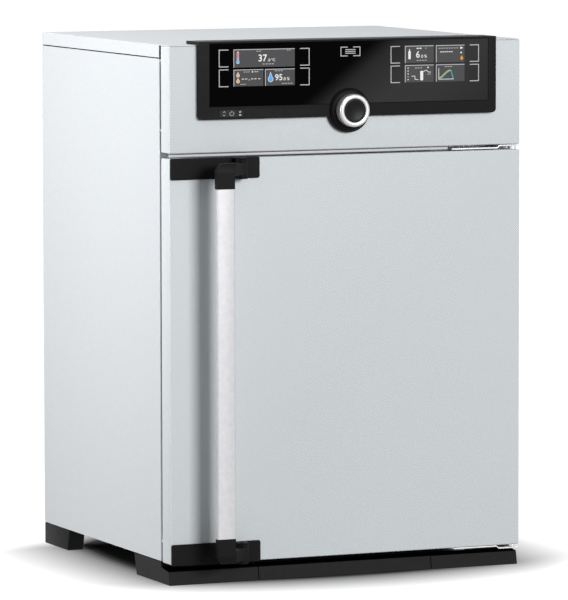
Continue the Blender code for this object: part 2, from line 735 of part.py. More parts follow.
def add_shelves():
    """Perforated shelves, which rest on the chamber's ribs."""
    half = CHAMBER_HALF - SHELF_SIDE_CLEARANCE
    for name, rib in SHELF_RIBS.items():
        bottom = rib_height(rib) + RIB_HEIGHT / 2 + FIT
        bm = new_shape()
        pan(bm, (-half, SHELF_FRONT, bottom), (half, SHELF_BACK, bottom + SHELF_RIM), "+Z", SHEET)
        shelf = finished(f"shelf_{name}", bm, polished())
        usable = (2 * half - 2 * SLOT_MARGIN, SHELF_BACK - SHELF_FRONT - 2 * SLOT_MARGIN)
        pitch = (usable[0] / SLOT_COLUMNS, usable[1] / SLOT_ROWS)
        bm = new_shape()
        for column in range(SLOT_COLUMNS):
            for row in range(SLOT_ROWS):
                x = -half + SLOT_MARGIN + (column + 0.5) * pitch[0]
                y = SHELF_FRONT + SLOT_MARGIN + (row + 0.5) * pitch[1]
                wide, long = SLOT_WIDTH / 2, (pitch[1] - SLOT_WIDTH) / 2
                prism(bm, rectangle((x - wide, y - long), (x + wide, y + long)), "Z",
                      bottom - SHEET, bottom + 2 * SHEET)
        cut(shelf, bm)


def add_fan(axle):
    """Fan cover with its grille, fan wheel on its shaft, and motor."""
    half, tall = FAN_COVER_HALF, FAN_COVER_HEIGHT / 2
    middle = CHAMBER_MIDDLE
    bm = new_shape()
    pan(bm, (-half, FAN_COVER_FRONT, middle - tall), (half, CHAMBER_BACK - FIT, middle + tall), "+Y", SHEET)
    cover = finished("fan_cover", bm, polished())
    bm = new_shape()
    start, end = FAN_COVER_FRONT - SHEET, FAN_COVER_FRONT + 2 * SHEET
    for k in range(INTAKE_HOLES):
        angle = 2 * math.pi * k / INTAKE_HOLES
        place = (INTAKE_RING_RADIUS * math.cos(angle), middle + INTAKE_RING_RADIUS * math.sin(angle))
        cylinder(bm, place, INTAKE_HOLE_RADIUS, "Y", start, end, 12)
    for sign in (-1, 1):
        reach = tall - 2 * OUTLET_WIDTH
        near, far = sorted((sign * (half - OUTLET_WIDTH), sign * (half - 2 * OUTLET_WIDTH)))
        prism(bm, rectangle((near, middle - reach), (far, middle + reach)), "Y", start, end)
    cut(cover, bm)

    hub = (0.0, middle)
    wheel_front = FAN_COVER_FRONT + (FAN_COVER_DEPTH - FAN_WIDTH) / 2
    wheel_back = wheel_front + FAN_WIDTH
    outline = []
    spread = 2 * math.pi / FAN_BLADES
    for k in range(FAN_BLADES):
        angle = k * spread
        for radius, lead in ((FAN_HUB_RADIUS, -0.30), (FAN_HUB_RADIUS * 2.4, 0.10), (FAN_RADIUS, 0.42),
                             (FAN_RADIUS, 0.50), (FAN_HUB_RADIUS * 2.4, 0.24), (FAN_HUB_RADIUS, 0.20)):
            turn = angle + lead * spread
            outline.append((hub[0] + radius * math.cos(turn), hub[1] + radius * math.sin(turn)))
    bm = new_shape()
    prism(bm, outline, "Y", wheel_front, wheel_back)
    wheel = finished("fan_wheel", bm, polished(), anchor=axle, smooth=True)
    bm = new_shape()
    turned(bm, hub, "Y", ((FAN_RADIUS + SHEET, wheel_back - SHEET), (FAN_RADIUS + SHEET, wheel_back + SHEET),
                          (FAN_SHAFT_RADIUS, wheel_back + SHEET),
                          (FAN_SHAFT_RADIUS, COMPARTMENT_FRONT + FAN_MOTOR_LENGTH / 2)))
    join(wheel, bm)

    bore = FAN_SHAFT_RADIUS + BORE_CLEARANCE
    rear = COMPARTMENT_FRONT + FAN_MOTOR_LENGTH
    shoulder = COMPARTMENT_FRONT + SHEET * 3
    depth = COMPARTMENT_FRONT + FAN_MOTOR_LENGTH / 2 + SHEET
    collar = FAN_MOTOR_RADIUS + FLANGE
    bm = new_shape()
    turned(bm, hub, "Y", ((bore, depth), (bore, COMPARTMENT_FRONT), (collar, COMPARTMENT_FRONT),
                          (collar, shoulder), (FAN_MOTOR_RADIUS, shoulder),
                          (FAN_MOTOR_RADIUS, rear - SHEET * 3), (FAN_MOTOR_RADIUS - SHEET * 3, rear)))
    finished("fan_motor", bm, zinc(), smooth=True)


def add_sensors():
    """Gas sensor and temperature probe, fitted from the rear compartment."""
    front = COMPARTMENT_FRONT
    stock = (("gas_sensor", -SENSOR_X, SENSOR_RADIUS, SENSOR_REACH, polished()),
             ("temperature_probe", SENSOR_X, PROBE_RADIUS, PROBE_REACH, polished()))
    for name, x, radius, reach, finish in stock:
        head = radius + FLANGE / 2
        tip = CHAMBER_BACK - reach
        bm = new_shape()
        turned(bm, (x, SENSOR_Z), "Y", ((radius * 0.7, tip), (radius, tip + radius), (radius, front),
                                         (head, front), (head, front + FLANGE),
                                         (radius, front + FLANGE), (radius, front + 2 * FLANGE)), 16)
        finished(name, bm, finish, smooth=True)


def nozzle_line(bm, port, body_front, body_back):
    """Nozzle into the chamber and barbed hose nipple out of the rear panel."""
    tip = CHAMBER_BACK - NOZZLE_REACH
    barb = NIPPLE_REACH / 3
    end = CASE_BACK + NIPPLE_REACH
    small = NOZZLE_RADIUS * 0.8
    turned(bm, port, "Y", ((small, tip), (NOZZLE_RADIUS, tip + SHEET), (NOZZLE_RADIUS, body_front)), 16)
    turned(bm, port, "Y", ((NOZZLE_RADIUS, body_back), (NOZZLE_RADIUS, end - 2 * barb),
                          (small, end - 2 * barb),
                          (NOZZLE_RADIUS, end - barb), (small, end - barb), (NOZZLE_RADIUS * 0.6, end)), 16)


def add_supplies():
    """Steam generator and gas valve, each with its hose nipple."""
    steam_port, gas_port = rear_ports()
    front = COMPARTMENT_FRONT
    centre_y = front + STEAM_RADIUS
    low = SUPPLY_Z - STEAM_HEIGHT / 2
    rim = STEAM_RADIUS - SHEET * 2
    bm = new_shape()
    turned(bm, (steam_port[0], centre_y), "Z",
           ((rim, low), (STEAM_RADIUS, low + SHEET * 2), (STEAM_RADIUS, low + STEAM_HEIGHT - SHEET * 2),
            (rim, low + STEAM_HEIGHT)))
    steam = finished("steam_generator", bm, polished(), smooth=True)
    bm = new_shape()
    nozzle_line(bm, steam_port, centre_y - STEAM_RADIUS / 2, centre_y + STEAM_RADIUS / 2)
    join(steam, bm)

    half = VALVE_SIZE / 2
    body = rounded((gas_port[0] - half, gas_port[1] - half), (gas_port[0] + half, gas_port[1] + half),
                   half / 4, 2)
    bm = new_shape()
    prism(bm, body, "Y", front, front + VALVE_SIZE)
    valve = finished("gas_valve", bm, zinc())
    bm = new_shape()
    nozzle_line(bm, gas_port, front + half / 2, front + VALVE_SIZE - half / 2)
    coil = (gas_port[0], front + half)
    shoulder, crown = gas_port[1] + VALVE_SIZE, gas_port[1] + VALVE_SIZE * 1.2
    turned(bm, coil, "Z", ((half * 0.7, gas_port[1]), (half * 0.7, shoulder), (half * 0.4, shoulder),
                           (half * 0.4, crown)), 16)
    join(valve, bm)


def add_mains_inlet():
    """Three-pin appliance inlet in the rear panel."""
    size = (INLET_WIDTH / 2, INLET_HEIGHT / 2)
    wall, rim = INLET_WALL, INLET_WALL + INLET_RIM
    deep = CASE_BACK - INLET_DEPTH
    flange = CASE_BACK + FIT
    face = flange + INLET_RIM_DEPTH
    levels = ((wall, deep - INLET_WALL), (wall, flange), (rim, flange), (rim, face), (0.0, face),
              (0.0, deep))
    loops = []
    for grow, depth in levels:
        low = (INLET_X - size[0] - grow, INLET_Z - size[1] - grow)
        high = (INLET_X + size[0] + grow, INLET_Z + size[1] + grow)
        loops.append([spatial(pair, depth, "Y") for pair in rectangle(low, high)])
    bm = new_shape()
    loft(bm, loops)
    inlet = finished("mains_inlet", bm, black_plastic())
    bm = new_shape()
    pin = (INLET_WALL / 2.5, INLET_WALL)
    for x, z in ((-size[0] / 2, -size[1] / 5), (0.0, size[1] / 4), (size[0] / 2, -size[1] / 5)):
        low = (INLET_X + x - pin[0], INLET_Z + z - pin[1])
        high = (INLET_X + x + pin[0], INLET_Z + z + pin[1])
        prism(bm, rectangle(low, high), "Y", deep - INLET_WALL / 2, deep + INLET_PIN_LENGTH)
    join(inlet, bm)


def bezel_outline(low, high, corner, notch, steps):
    """Upright panel outline whose lower edge follows the dial; notch is the arc's radius."""
    drop = low[1] - DIAL_HEIGHT
    side = math.sqrt(notch ** 2 - drop ** 2)
    start = math.degrees(math.atan2(drop, -side))
    end = math.degrees(math.atan2(drop, side))
    if drop < 0:
        sweep = arc((0, DIAL_HEIGHT), notch, start % 360, end % 360, steps)
    else:
        sweep = arc((0, DIAL_HEIGHT), notch, start, end, steps)
    outline = arc((low[0] + corner, low[1] + corner), corner, 180, 270, 3)
    outline += sweep
    outline += arc((high[0] - corner, low[1] + corner), corner, 270, 360, 3)
    return outline


def add_controls():
    """Fascia, black bezel, glass, displays, keys and what stands behind them."""
    bm = new_shape()
    skin_pan(bm, (-HALF_WIDTH, DOOR_FRONT, FASCIA_BOTTOM), (HALF_WIDTH, DOOR_BACK, FASCIA_TOP), SHEET)
    fascia = finished("control_fascia", bm, stainless())
    bm = new_shape()
    cylinder(bm, (0.0, DIAL_HEIGHT), SPINDLE_BORE, "Y", DOOR_FRONT - SHEET, DOOR_FRONT + 2 * SHEET)
    cut(fascia, bm)

    top = CASE_HEIGHT + FIT
    corner = BEZEL_RADIUS
    outline = bezel_outline((BEZEL_LEFT, BEZEL_BOTTOM), (BEZEL_RIGHT, top), corner,
                            DIAL_SEAT_RADIUS + BEZEL_BULGE, 10)
    count = len(outline)
    outline += [(BEZEL_RIGHT, top), (BEZEL_RIGHT, top + BEZEL_LIP), (BEZEL_LEFT, top + BEZEL_LIP),
                (BEZEL_LEFT, top)]
    bm = new_shape()
    branched_prism(bm, outline, "Y", BEZEL_FRONT, DOOR_FRONT - FIT,
                   [(count, count + 1, count + 2, count + 3), (*range(count), count, count + 3)],
                   DOOR_FRONT + BEZEL_LIP_REACH)
    bezel = finished("control_bezel", bm, black_plastic())
    pane_low = (PANE_SHIFT - PANE_WIDTH / 2, PANE_BOTTOM)
    pane_high = (PANE_SHIFT + PANE_WIDTH / 2, PANE_BOTTOM + PANE_HEIGHT)
    notch = DIAL_SEAT_RADIUS + BEZEL_BULGE / 2
    pocket = bezel_outline(pane_low, pane_high, corner / 6, notch, 8)
    pocket += [(pane_high[0], pane_high[1]), (pane_low[0], pane_high[1])]
    glass_rear = BEZEL_FRONT + PANE_THICKNESS
    bm = new_shape()
    prism(bm, pocket, "Y", BEZEL_FRONT - PANE_THICKNESS, glass_rear)
    cut(bezel, bm)
    bm = new_shape()
    for side, x in DISPLAY_CENTRES.items():
        low = (x - DISPLAY_WIDTH / 2 - FIT, DISPLAY_BOTTOM - FIT)
        high = (x + DISPLAY_WIDTH / 2 + FIT, DISPLAY_BOTTOM + DISPLAY_HEIGHT + FIT)
        prism(bm, rectangle(low, high), "Y", glass_rear - PANE_THICKNESS / 2,
              glass_rear + DISPLAY_DEPTH + FIT)
        shape = new_shape()
        low = (x - DISPLAY_WIDTH / 2, DISPLAY_BOTTOM)
        high = (x + DISPLAY_WIDTH / 2, DISPLAY_BOTTOM + DISPLAY_HEIGHT)
        prism(shape, rectangle(low, high), "Y", glass_rear + FIT / 3, glass_rear + DISPLAY_DEPTH)
        finished(f"display_{side}", shape, screen())
    key_low = (POWER_KEY_X - POWER_KEY_WIDTH / 2, POWER_KEY_BOTTOM)
    key_high = (POWER_KEY_X + POWER_KEY_WIDTH / 2, POWER_KEY_BOTTOM + POWER_KEY_HEIGHT)
    prism(bm, rectangle((key_low[0] - FIT, key_low[1] - FIT), (key_high[0] + FIT, key_high[1] + FIT)),
          "Y", BEZEL_FRONT - PANE_THICKNESS, DOOR_FRONT)
    cylinder(bm, (0.0, DIAL_HEIGHT), SPINDLE_BORE, "Y", BEZEL_FRONT - PANE_THICKNESS, DOOR_FRONT)
    cut(bezel, bm)

    shrunk = bezel_outline((pane_low[0] + FIT, pane_low[1] + FIT), (pane_high[0] - FIT, pane_high[1] - FIT),
                           corner / 6, notch + FIT, 8)
    shrunk += [(pane_high[0] - FIT, pane_high[1] - FIT), (pane_low[0] + FIT, pane_high[1] - FIT)]
    bm = new_shape()
    prism(bm, shrunk, "Y", BEZEL_FRONT, glass_rear - FIT)
    finished("control_glass", bm, gloss_black())

    key_anchor = joint_anchor("power_key_axis", (POWER_KEY_X, BEZEL_FRONT, POWER_KEY_BOTTOM))
    bm = new_shape()
    prism(bm, rectangle(key_low, key_high), "Y", BEZEL_FRONT - FIT, DOOR_FRONT - 2 * FIT - POWER_TRAVEL)
    finished("power_key", bm, black_plastic(), anchor=key_anchor)
    add_dial()
    add_electronics()


def add_dial():
    """Turning ring, its seat, its encoder and the confirm key in the middle."""
    centre = (0.0, DIAL_HEIGHT)
    bore = SPINDLE_RADIUS + FIT
    rear = BEZEL_FRONT - FIT
    bevel = DIAL_SEAT_DEPTH * 2 / 3
    bm = new_shape()
    turned(bm, centre, "Y", ((bore, rear), (DIAL_SEAT_RADIUS, rear), (DIAL_SEAT_RADIUS, SEAT_FRONT + bevel),
                             (DIAL_SEAT_RADIUS - bevel, SEAT_FRONT), (bore, SEAT_FRONT)), 32, bored=True)
    finished("dial_seat", bm, black_plastic(), smooth=True)

    dial_anchor = joint_anchor("dial_axis", (0.0, DIAL_FACE, DIAL_HEIGHT))
    chamfer = SHEET
    web_front = WEB_REAR - DIAL_WEB
    bm = new_shape()
    turned(bm, centre, "Y", ((bore, WEB_REAR), (bore, web_front), (DIAL_BORE, web_front),
                             (DIAL_BORE, DIAL_FACE + chamfer), (DIAL_BORE + chamfer, DIAL_FACE),
                             (DIAL_RADIUS - chamfer, DIAL_FACE), (DIAL_RADIUS, DIAL_FACE + chamfer),
                             (DIAL_RADIUS, DIAL_REAR), (DIAL_RADIUS - DIAL_WEB, DIAL_REAR),
                             (DIAL_RADIUS - DIAL_WEB, WEB_REAR)), 32, bored=True)
    finished("dial_ring", bm, polished(), anchor=dial_anchor, smooth=True)

    key_anchor = joint_anchor("confirm_key_axis", (0.0, CONFIRM_FACE, DIAL_HEIGHT))
    radius = DIAL_BORE - FIT
    bm = new_shape()
    turned(bm, centre, "Y", ((radius - chamfer, CONFIRM_FACE), (radius, CONFIRM_FACE + chamfer),
                             (radius, CONFIRM_FACE + CONFIRM_THICKNESS)), 32)
    finished("confirm_key", bm, black_plastic(), anchor=key_anchor, smooth=True)

    body_front = DOOR_FRONT + SHEET + FIT
    half = ENCODER_SIZE / 2
    bm = new_shape()
    prism(bm, rounded((-half, DIAL_HEIGHT - half), (half, DIAL_HEIGHT + half), half / 5, 1), "Y",
          body_front, body_front + ENCODER_DEPTH)
    encoder = finished("dial_encoder", bm, zinc())
    bm = new_shape()
    cylinder(bm, centre, SPINDLE_RADIUS, "Y", SPINDLE_END, body_front + ENCODER_DEPTH / 2, 32)
    join(encoder, bm)


def add_electronics():
    """Control board behind the displays and power supply on the insulation."""
    rear = DOOR_FRONT + SHEET + FIT + ENCODER_DEPTH + FIT
    bottom = DIAL_HEIGHT
    bm = new_shape()
    block(bm, (-BOARD_WIDTH / 2, rear, bottom),
          (BOARD_WIDTH / 2, rear + BOARD_THICKNESS, bottom + BOARD_HEIGHT))
    main = finished("control_board", bm, board())
    bm = new_shape()
    for k, size in enumerate(CHIP_SIZES):
        x = (k - (len(CHIP_SIZES) - 1) / 2) * BOARD_WIDTH / len(CHIP_SIZES)
        z = bottom + BOARD_HEIGHT / 2
        block(bm, (x - size / 2, rear + BOARD_THICKNESS / 2, z - size / 2),
              (x + size / 2, rear + BOARD_THICKNESS + CHIP_HEIGHT, z + size / 2))
    join(main, bm)

    base = FASCIA_BOTTOM + FIT
    left = -HALF_WIDTH + SUPPLY_BOX_WIDTH / 2
    pitch = SUPPLY_BOX_WIDTH / FIN_COUNT
    crest, root = base + SUPPLY_BOX_HEIGHT, base + SUPPLY_BOX_HEIGHT - FIN_DEPTH
    outline = [(left + SUPPLY_BOX_WIDTH, base), (left, base)]
    for k in range(FIN_COUNT):
        start = left + k * pitch
        outline += [(start, crest), (start + pitch / 2, crest), (start + pitch / 2, root)]
        outline += [(start + pitch, root)]
    bm = new_shape()
    deep = SUPPLY_BOX_DEPTH / 2
    prism(bm, outline[:-1] + [(left + SUPPLY_BOX_WIDTH, root)], "Y", -deep, deep)
    finished("power_supply", bm, zinc())


def add_glass_door(swing):
    """Inner glass door with its seal, clips, pins and turn latch."""
    middle = CHAMBER_MIDDLE
    half_height = RECESS_HALF_HEIGHT - GLASS_CLEARANCE
    low = (-RECESS_HALF + GLASS_CLEARANCE, middle - half_height)
    high = (GLASS_RIGHT, middle + half_height)
    bm = new_shape()
    prism(bm, rounded(low, high, GLASS_RADIUS), "Y", GLASS_FRONT, GLASS_BACK)
    finished("glass_pane", bm, glass(), anchor=swing)

    inner = (CHAMBER_HALF + GLASS_SEAL_INSET, CHAMBER_HEIGHT / 2 + GLASS_SEAL_INSET)
    outer = (inner[0] + GLASS_SEAL_WIDTH, inner[1] + GLASS_SEAL_WIDTH)
    front, back = GLASS_BACK + FIT, FLANGE_FRONT - FIT
    neck = GLASS_SEAL_WIDTH / 3
    bm = new_shape()
    frame_ring(bm, (0.0, middle), ((inner[0], inner[1], back), (inner[0] + neck, inner[1] + neck, front),
                                   (outer[0] - neck, outer[1] - neck, front),
                                   (outer[0], outer[1], back)), "Y")
    finished("glass_gasket", bm, silicone())

    for name, sign in (("lower", -1), ("upper", 1)):
        centre = middle + sign * GLASS_HINGE_SPREAD
        start, end = centre - GLASS_HINGE_HEIGHT / 2, centre + GLASS_HINGE_HEIGHT / 2
        add_glass_clip(name, swing, start, end)
        add_glass_pin(name, start, end)
    add_glass_latch()


def add_glass_clip(name, swing, start, end):
    """Channel that grips the pane's edge, with a knuckle for the hinge pin."""
    gap = FIT
    grip = GLASS_RIGHT - CLIP_GRIP
    front, back = GLASS_FRONT - gap, GLASS_BACK + gap
    channel = [(grip, front), (GLASS_RIGHT + gap, front), (GLASS_RIGHT + gap, back), (grip, back),
               (grip, back + CLIP_WALL), (GLASS_AXIS[0] - CLIP_KNUCKLE / 2, back + CLIP_WALL),
               (GLASS_AXIS[0] - CLIP_KNUCKLE / 2, front - CLIP_WALL), (grip, front - CLIP_WALL)]
    bm = new_shape()
    prism(bm, channel, "Z", start, end)
    clip = finished(f"glass_hinge_clip_{name}", bm, polished(), anchor=swing)
    bm = new_shape()
    cylinder(bm, GLASS_AXIS, CLIP_KNUCKLE, "Z", start, end)
    join(clip, bm)
    bm = new_shape()
    cylinder(bm, GLASS_AXIS, GLASS_PIN_RADIUS + FIT, "Z", start - SHEET, end + SHEET)
    cut(clip, bm)


def add_glass_pin(name, start, end):
    """Hinge pin between two lugs on the frame's jamb."""
    reach = RECESS_HALF - FIT
    lug = CLIP_KNUCKLE
    bm = new_shape()
    cylinder(bm, GLASS_AXIS, GLASS_PIN_RADIUS, "Z", start - lug, end + lug, 12)
    pin = finished(f"glass_hinge_pin_{name}", bm, polished())
    bm = new_shape()
    for low, high in ((start - lug - SHEET, start - FIT), (end + FIT, end + lug + SHEET)):
        block(bm, (GLASS_AXIS[0] - CLIP_KNUCKLE, GLASS_AXIS[1] - GLASS_PIN_RADIUS, low),
              (reach, GLASS_AXIS[1] + GLASS_PIN_RADIUS, high))
    join(pin, bm)


def add_glass_latch():
    """Turn latch on the frame, which holds the pane shut when its arm lies across it."""
    centre = (-RECESS_HALF - LATCH_OFFSET, CHAMBER_MIDDLE)
    anchor = joint_anchor("glass_latch_axis", (centre[0], CASE_FRONT, centre[1]))
    rear, front = CASE_FRONT - FIT, CASE_FRONT - FIT - LATCH_HEIGHT
    wing = arc(centre, LATCH_HUB_RADIUS, 0, 180, 6)
    tip = (centre[0], centre[1] - LATCH_ARM + LATCH_HUB_RADIUS / 2)
    wing += arc(tip, LATCH_HUB_RADIUS / 2, 180, 360, 4)
    bm = new_shape()
    prism(bm, wing, "Y", front, rear - LATCH_HEIGHT / 2)
    latch = finished("glass_latch", bm, polished(), anchor=anchor)
    bm = new_shape()
    cylinder(bm, centre, LATCH_HUB_RADIUS * 0.8, "Y", front + LATCH_HEIGHT / 4, rear)
    join(latch, bm)


def add_door(swing):
    """Outer door: front pan, insulation, inner pan and seal."""
    bm = new_shape()
    skin_pan(bm, (-HALF_WIDTH, DOOR_FRONT, DOOR_BOTTOM), (HALF_WIDTH, DOOR_BACK, DOOR_TOP), SHEET)
    outer = finished("door_outer_panel", bm, stainless(), anchor=swing)
    holes = new_shape()
    for end in (DOOR_BOTTOM, DOOR_TOP):
        cylinder(holes, DOOR_AXIS, HINGE_PIN_RADIUS + BORE_CLEARANCE, "Z",
                 end - 2 * SHEET, end + 2 * SHEET)
    cut(outer, holes)
    low, high = DOOR_BOTTOM + SHEET + FIT, DOOR_TOP - SHEET - FIT
    bm = new_shape()
    pan(bm, (-INNER_HALF, DOOR_BACK - FLANGE, low), (INNER_HALF, DOOR_BACK, high), "-Y", SHEET)
    finished("door_inner_panel", bm, polished(), anchor=swing)
    inset = SHEET + FIT
    bm = new_shape()
    prism(bm, rounded((-INNER_HALF + inset, low + inset), (INNER_HALF - inset, high - inset), inset * 2, 1),
          "Y", DOOR_FRONT + inset, DOOR_BACK - inset)
    core = finished("door_insulation", bm, wool(), anchor=swing)
    depth = HINGE_PIN_DEPTH + inset
    bores = new_shape()
    for start, end in ((DOOR_BOTTOM, DOOR_BOTTOM + depth), (DOOR_TOP - depth, DOOR_TOP)):
        cylinder(bores, DOOR_AXIS, HINGE_PIN_RADIUS + BORE_CLEARANCE, "Z", start, end)
    cut(core, bores)
    half = (HALF_WIDTH - SEAL_INSET, DOOR_HEIGHT / 2 - SEAL_INSET)
    front, back = DOOR_BACK + FIT, CASE_FRONT - FIT
    depth = back - front
    section = []
    for grow, y in ((0, front), (0, front + depth / 3), (-SEAL_WIDTH / 4, back), (-SEAL_WIDTH * 3 / 4, back),
                    (-SEAL_WIDTH, front + depth / 3), (-SEAL_WIDTH, front)):
        section.append((half[0] + grow, half[1] + grow, y))
    bm = new_shape()
    frame_ring(bm, (0.0, DOOR_BOTTOM + DOOR_HEIGHT / 2), section, "Y")
    finished("door_gasket", bm, silicone(), anchor=swing)


def add_hinges():
    """Joggled hinge strips above and below the door, with their pins."""
    front, back = DOOR_FRONT + STRIP_FRONT, CASE_FRONT - FIT
    ramp = STRIP_JOGGLE
    high = FASCIA_BOTTOM - FIT * 2 - STRIP_THICKNESS
    low = high - STRIP_JOGGLE
    end = HALF_WIDTH - FIT
    start, joggle = HALF_WIDTH - UPPER_STRIP_LENGTH, HALF_WIDTH - UPPER_JOGGLE_INSET
    upper = [(start, low), (joggle, low), (joggle + ramp, high), (end, high)]
    outline = upper + [(x, z + STRIP_THICKNESS) for x, z in reversed(upper)]
    bm = new_shape()
    prism(bm, outline, "Y", front, back)
    finished("hinge_strip_upper", bm, polished())
    bm = new_shape()
    turned(bm, DOOR_AXIS, "Z", ((HINGE_PIN_RADIUS * 0.7, DOOR_TOP - HINGE_PIN_DEPTH),
                                (HINGE_PIN_RADIUS, DOOR_TOP - HINGE_PIN_DEPTH + SHEET),
                                (HINGE_PIN_RADIUS, DOOR_TOP + FIT), (HINGE_PIN_RADIUS * 1.6, DOOR_TOP + FIT),
                                (HINGE_PIN_RADIUS * 1.6, high - FIT)), 20)
    finished("hinge_pin_upper", bm, polished(), smooth=True)

    high = DOOR_BOTTOM - FIT - STRIP_THICKNESS
    low = high - STRIP_JOGGLE
    start, joggle = HALF_WIDTH - LOWER_STRIP_LENGTH, HALF_WIDTH - LOWER_JOGGLE_INSET
    lower = [(start, high), (joggle, high), (joggle + ramp, low), (end, low)]
    outline = lower + [(x, z + STRIP_THICKNESS) for x, z in reversed(lower)]
    bm = new_shape()
    prism(bm, outline, "Y", front, CASE_FRONT - FIT * 2 - SHEET)
    finished("hinge_strip_lower", bm, polished())
    top = low + STRIP_THICKNESS + FIT
    bm = new_shape()
    turned(bm, DOOR_AXIS, "Z", ((HINGE_PIN_RADIUS * 1.6, top), (HINGE_PIN_RADIUS * 1.6, DOOR_BOTTOM - FIT),
                                (HINGE_PIN_RADIUS, DOOR_BOTTOM - FIT),
                                (HINGE_PIN_RADIUS, DOOR_BOTTOM + HINGE_PIN_DEPTH - SHEET),
                                (HINGE_PIN_RADIUS * 0.7, DOOR_BOTTOM + HINGE_PIN_DEPTH)), 20)
    finished("hinge_pin_lower", bm, polished(), smooth=True)


def add_handle(swing, pivot):
    """Flat bar between two arms, which turn in brackets on the door."""
    front = DOOR_FRONT - HANDLE_REACH
    half = BAR_WIDTH / 2
    bm = new_shape()
    prism(bm, rounded((BAR_X - half, front), (BAR_X + half, front + BAR_THICKNESS), BAR_THICKNESS / 5, 2),
          "Z", BAR_BOTTOM, BAR_TOP)
    finished("handle_bar", bm, polished(), anchor=pivot)
    plate_low = DOOR_BOTTOM - BRACKET_OVERHANG
    add_bracket("lower", plate_low, swing)
    add_bracket("upper", DOOR_TOP + BRACKET_OVERHANG - BRACKET_HEIGHT, swing)
    add_arm("lower", plate_low, BAR_BOTTOM, -1, pivot)
    add_arm("upper", DOOR_TOP + BRACKET_OVERHANG - BRACKET_HEIGHT, BAR_TOP, 1, pivot)


def add_bracket(name, low, swing):
    """Plate on the door with two ears round the pivot."""
    left = -HALF_WIDTH
    high = low + BRACKET_HEIGHT
    rear, face = DOOR_FRONT - FIT, DOOR_FRONT - FIT - BRACKET_THICKNESS
    bm = new_shape()
    prism(bm, rounded((left, low), (left + BRACKET_WIDTH, high), BRACKET_RADIUS, 2), "Y", face, rear)
    bracket = finished(f"handle_bracket_{name}", bm, black_plastic(), anchor=swing)
    ears = new_shape()
    for start in (low, high - EAR_THICKNESS):
        outline = [(PIVOT[0] + HUB_RADIUS, face + BRACKET_THICKNESS / 2),
                   (PIVOT[0] - HUB_RADIUS, face + BRACKET_THICKNESS / 2)]
        outline += arc(PIVOT, HUB_RADIUS, 180, 360, 8)
        prism(ears, outline, "Z", start, start + EAR_THICKNESS)
    join(bracket, ears)
    bore = new_shape()
    cylinder(bore, PIVOT, TRUNNION_RADIUS + FIT, "Z", low - SHEET, high + SHEET)
    cut(bracket, bore)


def add_arm(name, bracket_low, bar_end, sign, pivot):
    """Arm from the pivot hub to the end cap of the bar."""
    low = bracket_low + EAR_THICKNESS + FIT
    high = bracket_low + BRACKET_HEIGHT - EAR_THICKNESS - FIT
    hub_low, hub_high = low, high
    front = DOOR_FRONT - HANDLE_REACH
    half = BAR_WIDTH / 2
    rear = front + BAR_THICKNESS
    bm = new_shape()
    cylinder(bm, PIVOT, HUB_RADIUS, "Z", hub_low, hub_high, 20)
    arm = finished(f"handle_arm_{name}", bm, black_plastic(), anchor=pivot)
    additions = new_shape()
    cylinder(additions, PIVOT, TRUNNION_RADIUS, "Z", bracket_low + SHEET,
             bracket_low + BRACKET_HEIGHT - SHEET, 16)
    join(arm, additions)
    far = bracket_low + BRACKET_HEIGHT / 2 + sign * ARM_HEIGHT / 2
    near = far - sign * ARM_HEIGHT
    cap_end = bar_end + sign * FIT
    shape = new_shape()
    slim = half * 0.82
    loft(shape, [[(BAR_X - half, front, cap_end), (BAR_X + half, front, cap_end),
                  (BAR_X + half, rear, cap_end), (BAR_X - half, rear, cap_end)],
                 [(BAR_X - half, front, near), (BAR_X + half, front, near),
                  (BAR_X + half, rear, near), (BAR_X - half, rear, near)],
                 [(BAR_X - slim, front + BAR_THICKNESS / 3, far),
                  (BAR_X + slim, front + BAR_THICKNESS / 3, far),
                  (BAR_X + slim, rear, far), (BAR_X - slim, rear, far)]])
    join(arm, shape)
    shape = new_shape()
    link = [(BAR_X - slim, rear - BAR_THICKNESS / 3), (BAR_X + slim, rear - BAR_THICKNESS / 3),
            (PIVOT[0] + HUB_RADIUS / 2, PIVOT[1] - HUB_RADIUS / 2),
            (PIVOT[0] - HUB_RADIUS / 2, PIVOT[1] + HUB_RADIUS / 2)]
    bottom, top = sorted((near + sign * SHEET, far - sign * SHEET))
    prism(shape, link, "Z", bottom, top)
    join(arm, shape)


def main():
    """Build the whole incubator."""
    clear_scene()
    door_swing = joint_anchor("door_axis", (*DOOR_AXIS, DOOR_BOTTOM))
    glass_swing = joint_anchor("glass_door_axis", (*GLASS_AXIS, CHAMBER_MIDDLE))
    handle_turn = joint_anchor("handle_axis", (*PIVOT, BAR_BOTTOM))
    fan_axle = joint_anchor("fan_axis", (0.0, CHAMBER_BACK, CHAMBER_MIDDLE))
    add_feet()
    add_case()
    add_chamber()
    add_shelves()
    add_fan(fan_axle)
    add_sensors()
    add_supplies()
    add_mains_inlet()
    add_controls()
    add_glass_door(glass_swing)
    add_door(door_swing)
    add_hinges()
    add_handle(door_swing, handle_turn)


main()
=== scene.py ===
"""Looks of a bench-top carbon dioxide incubator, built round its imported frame."""

import json
import math

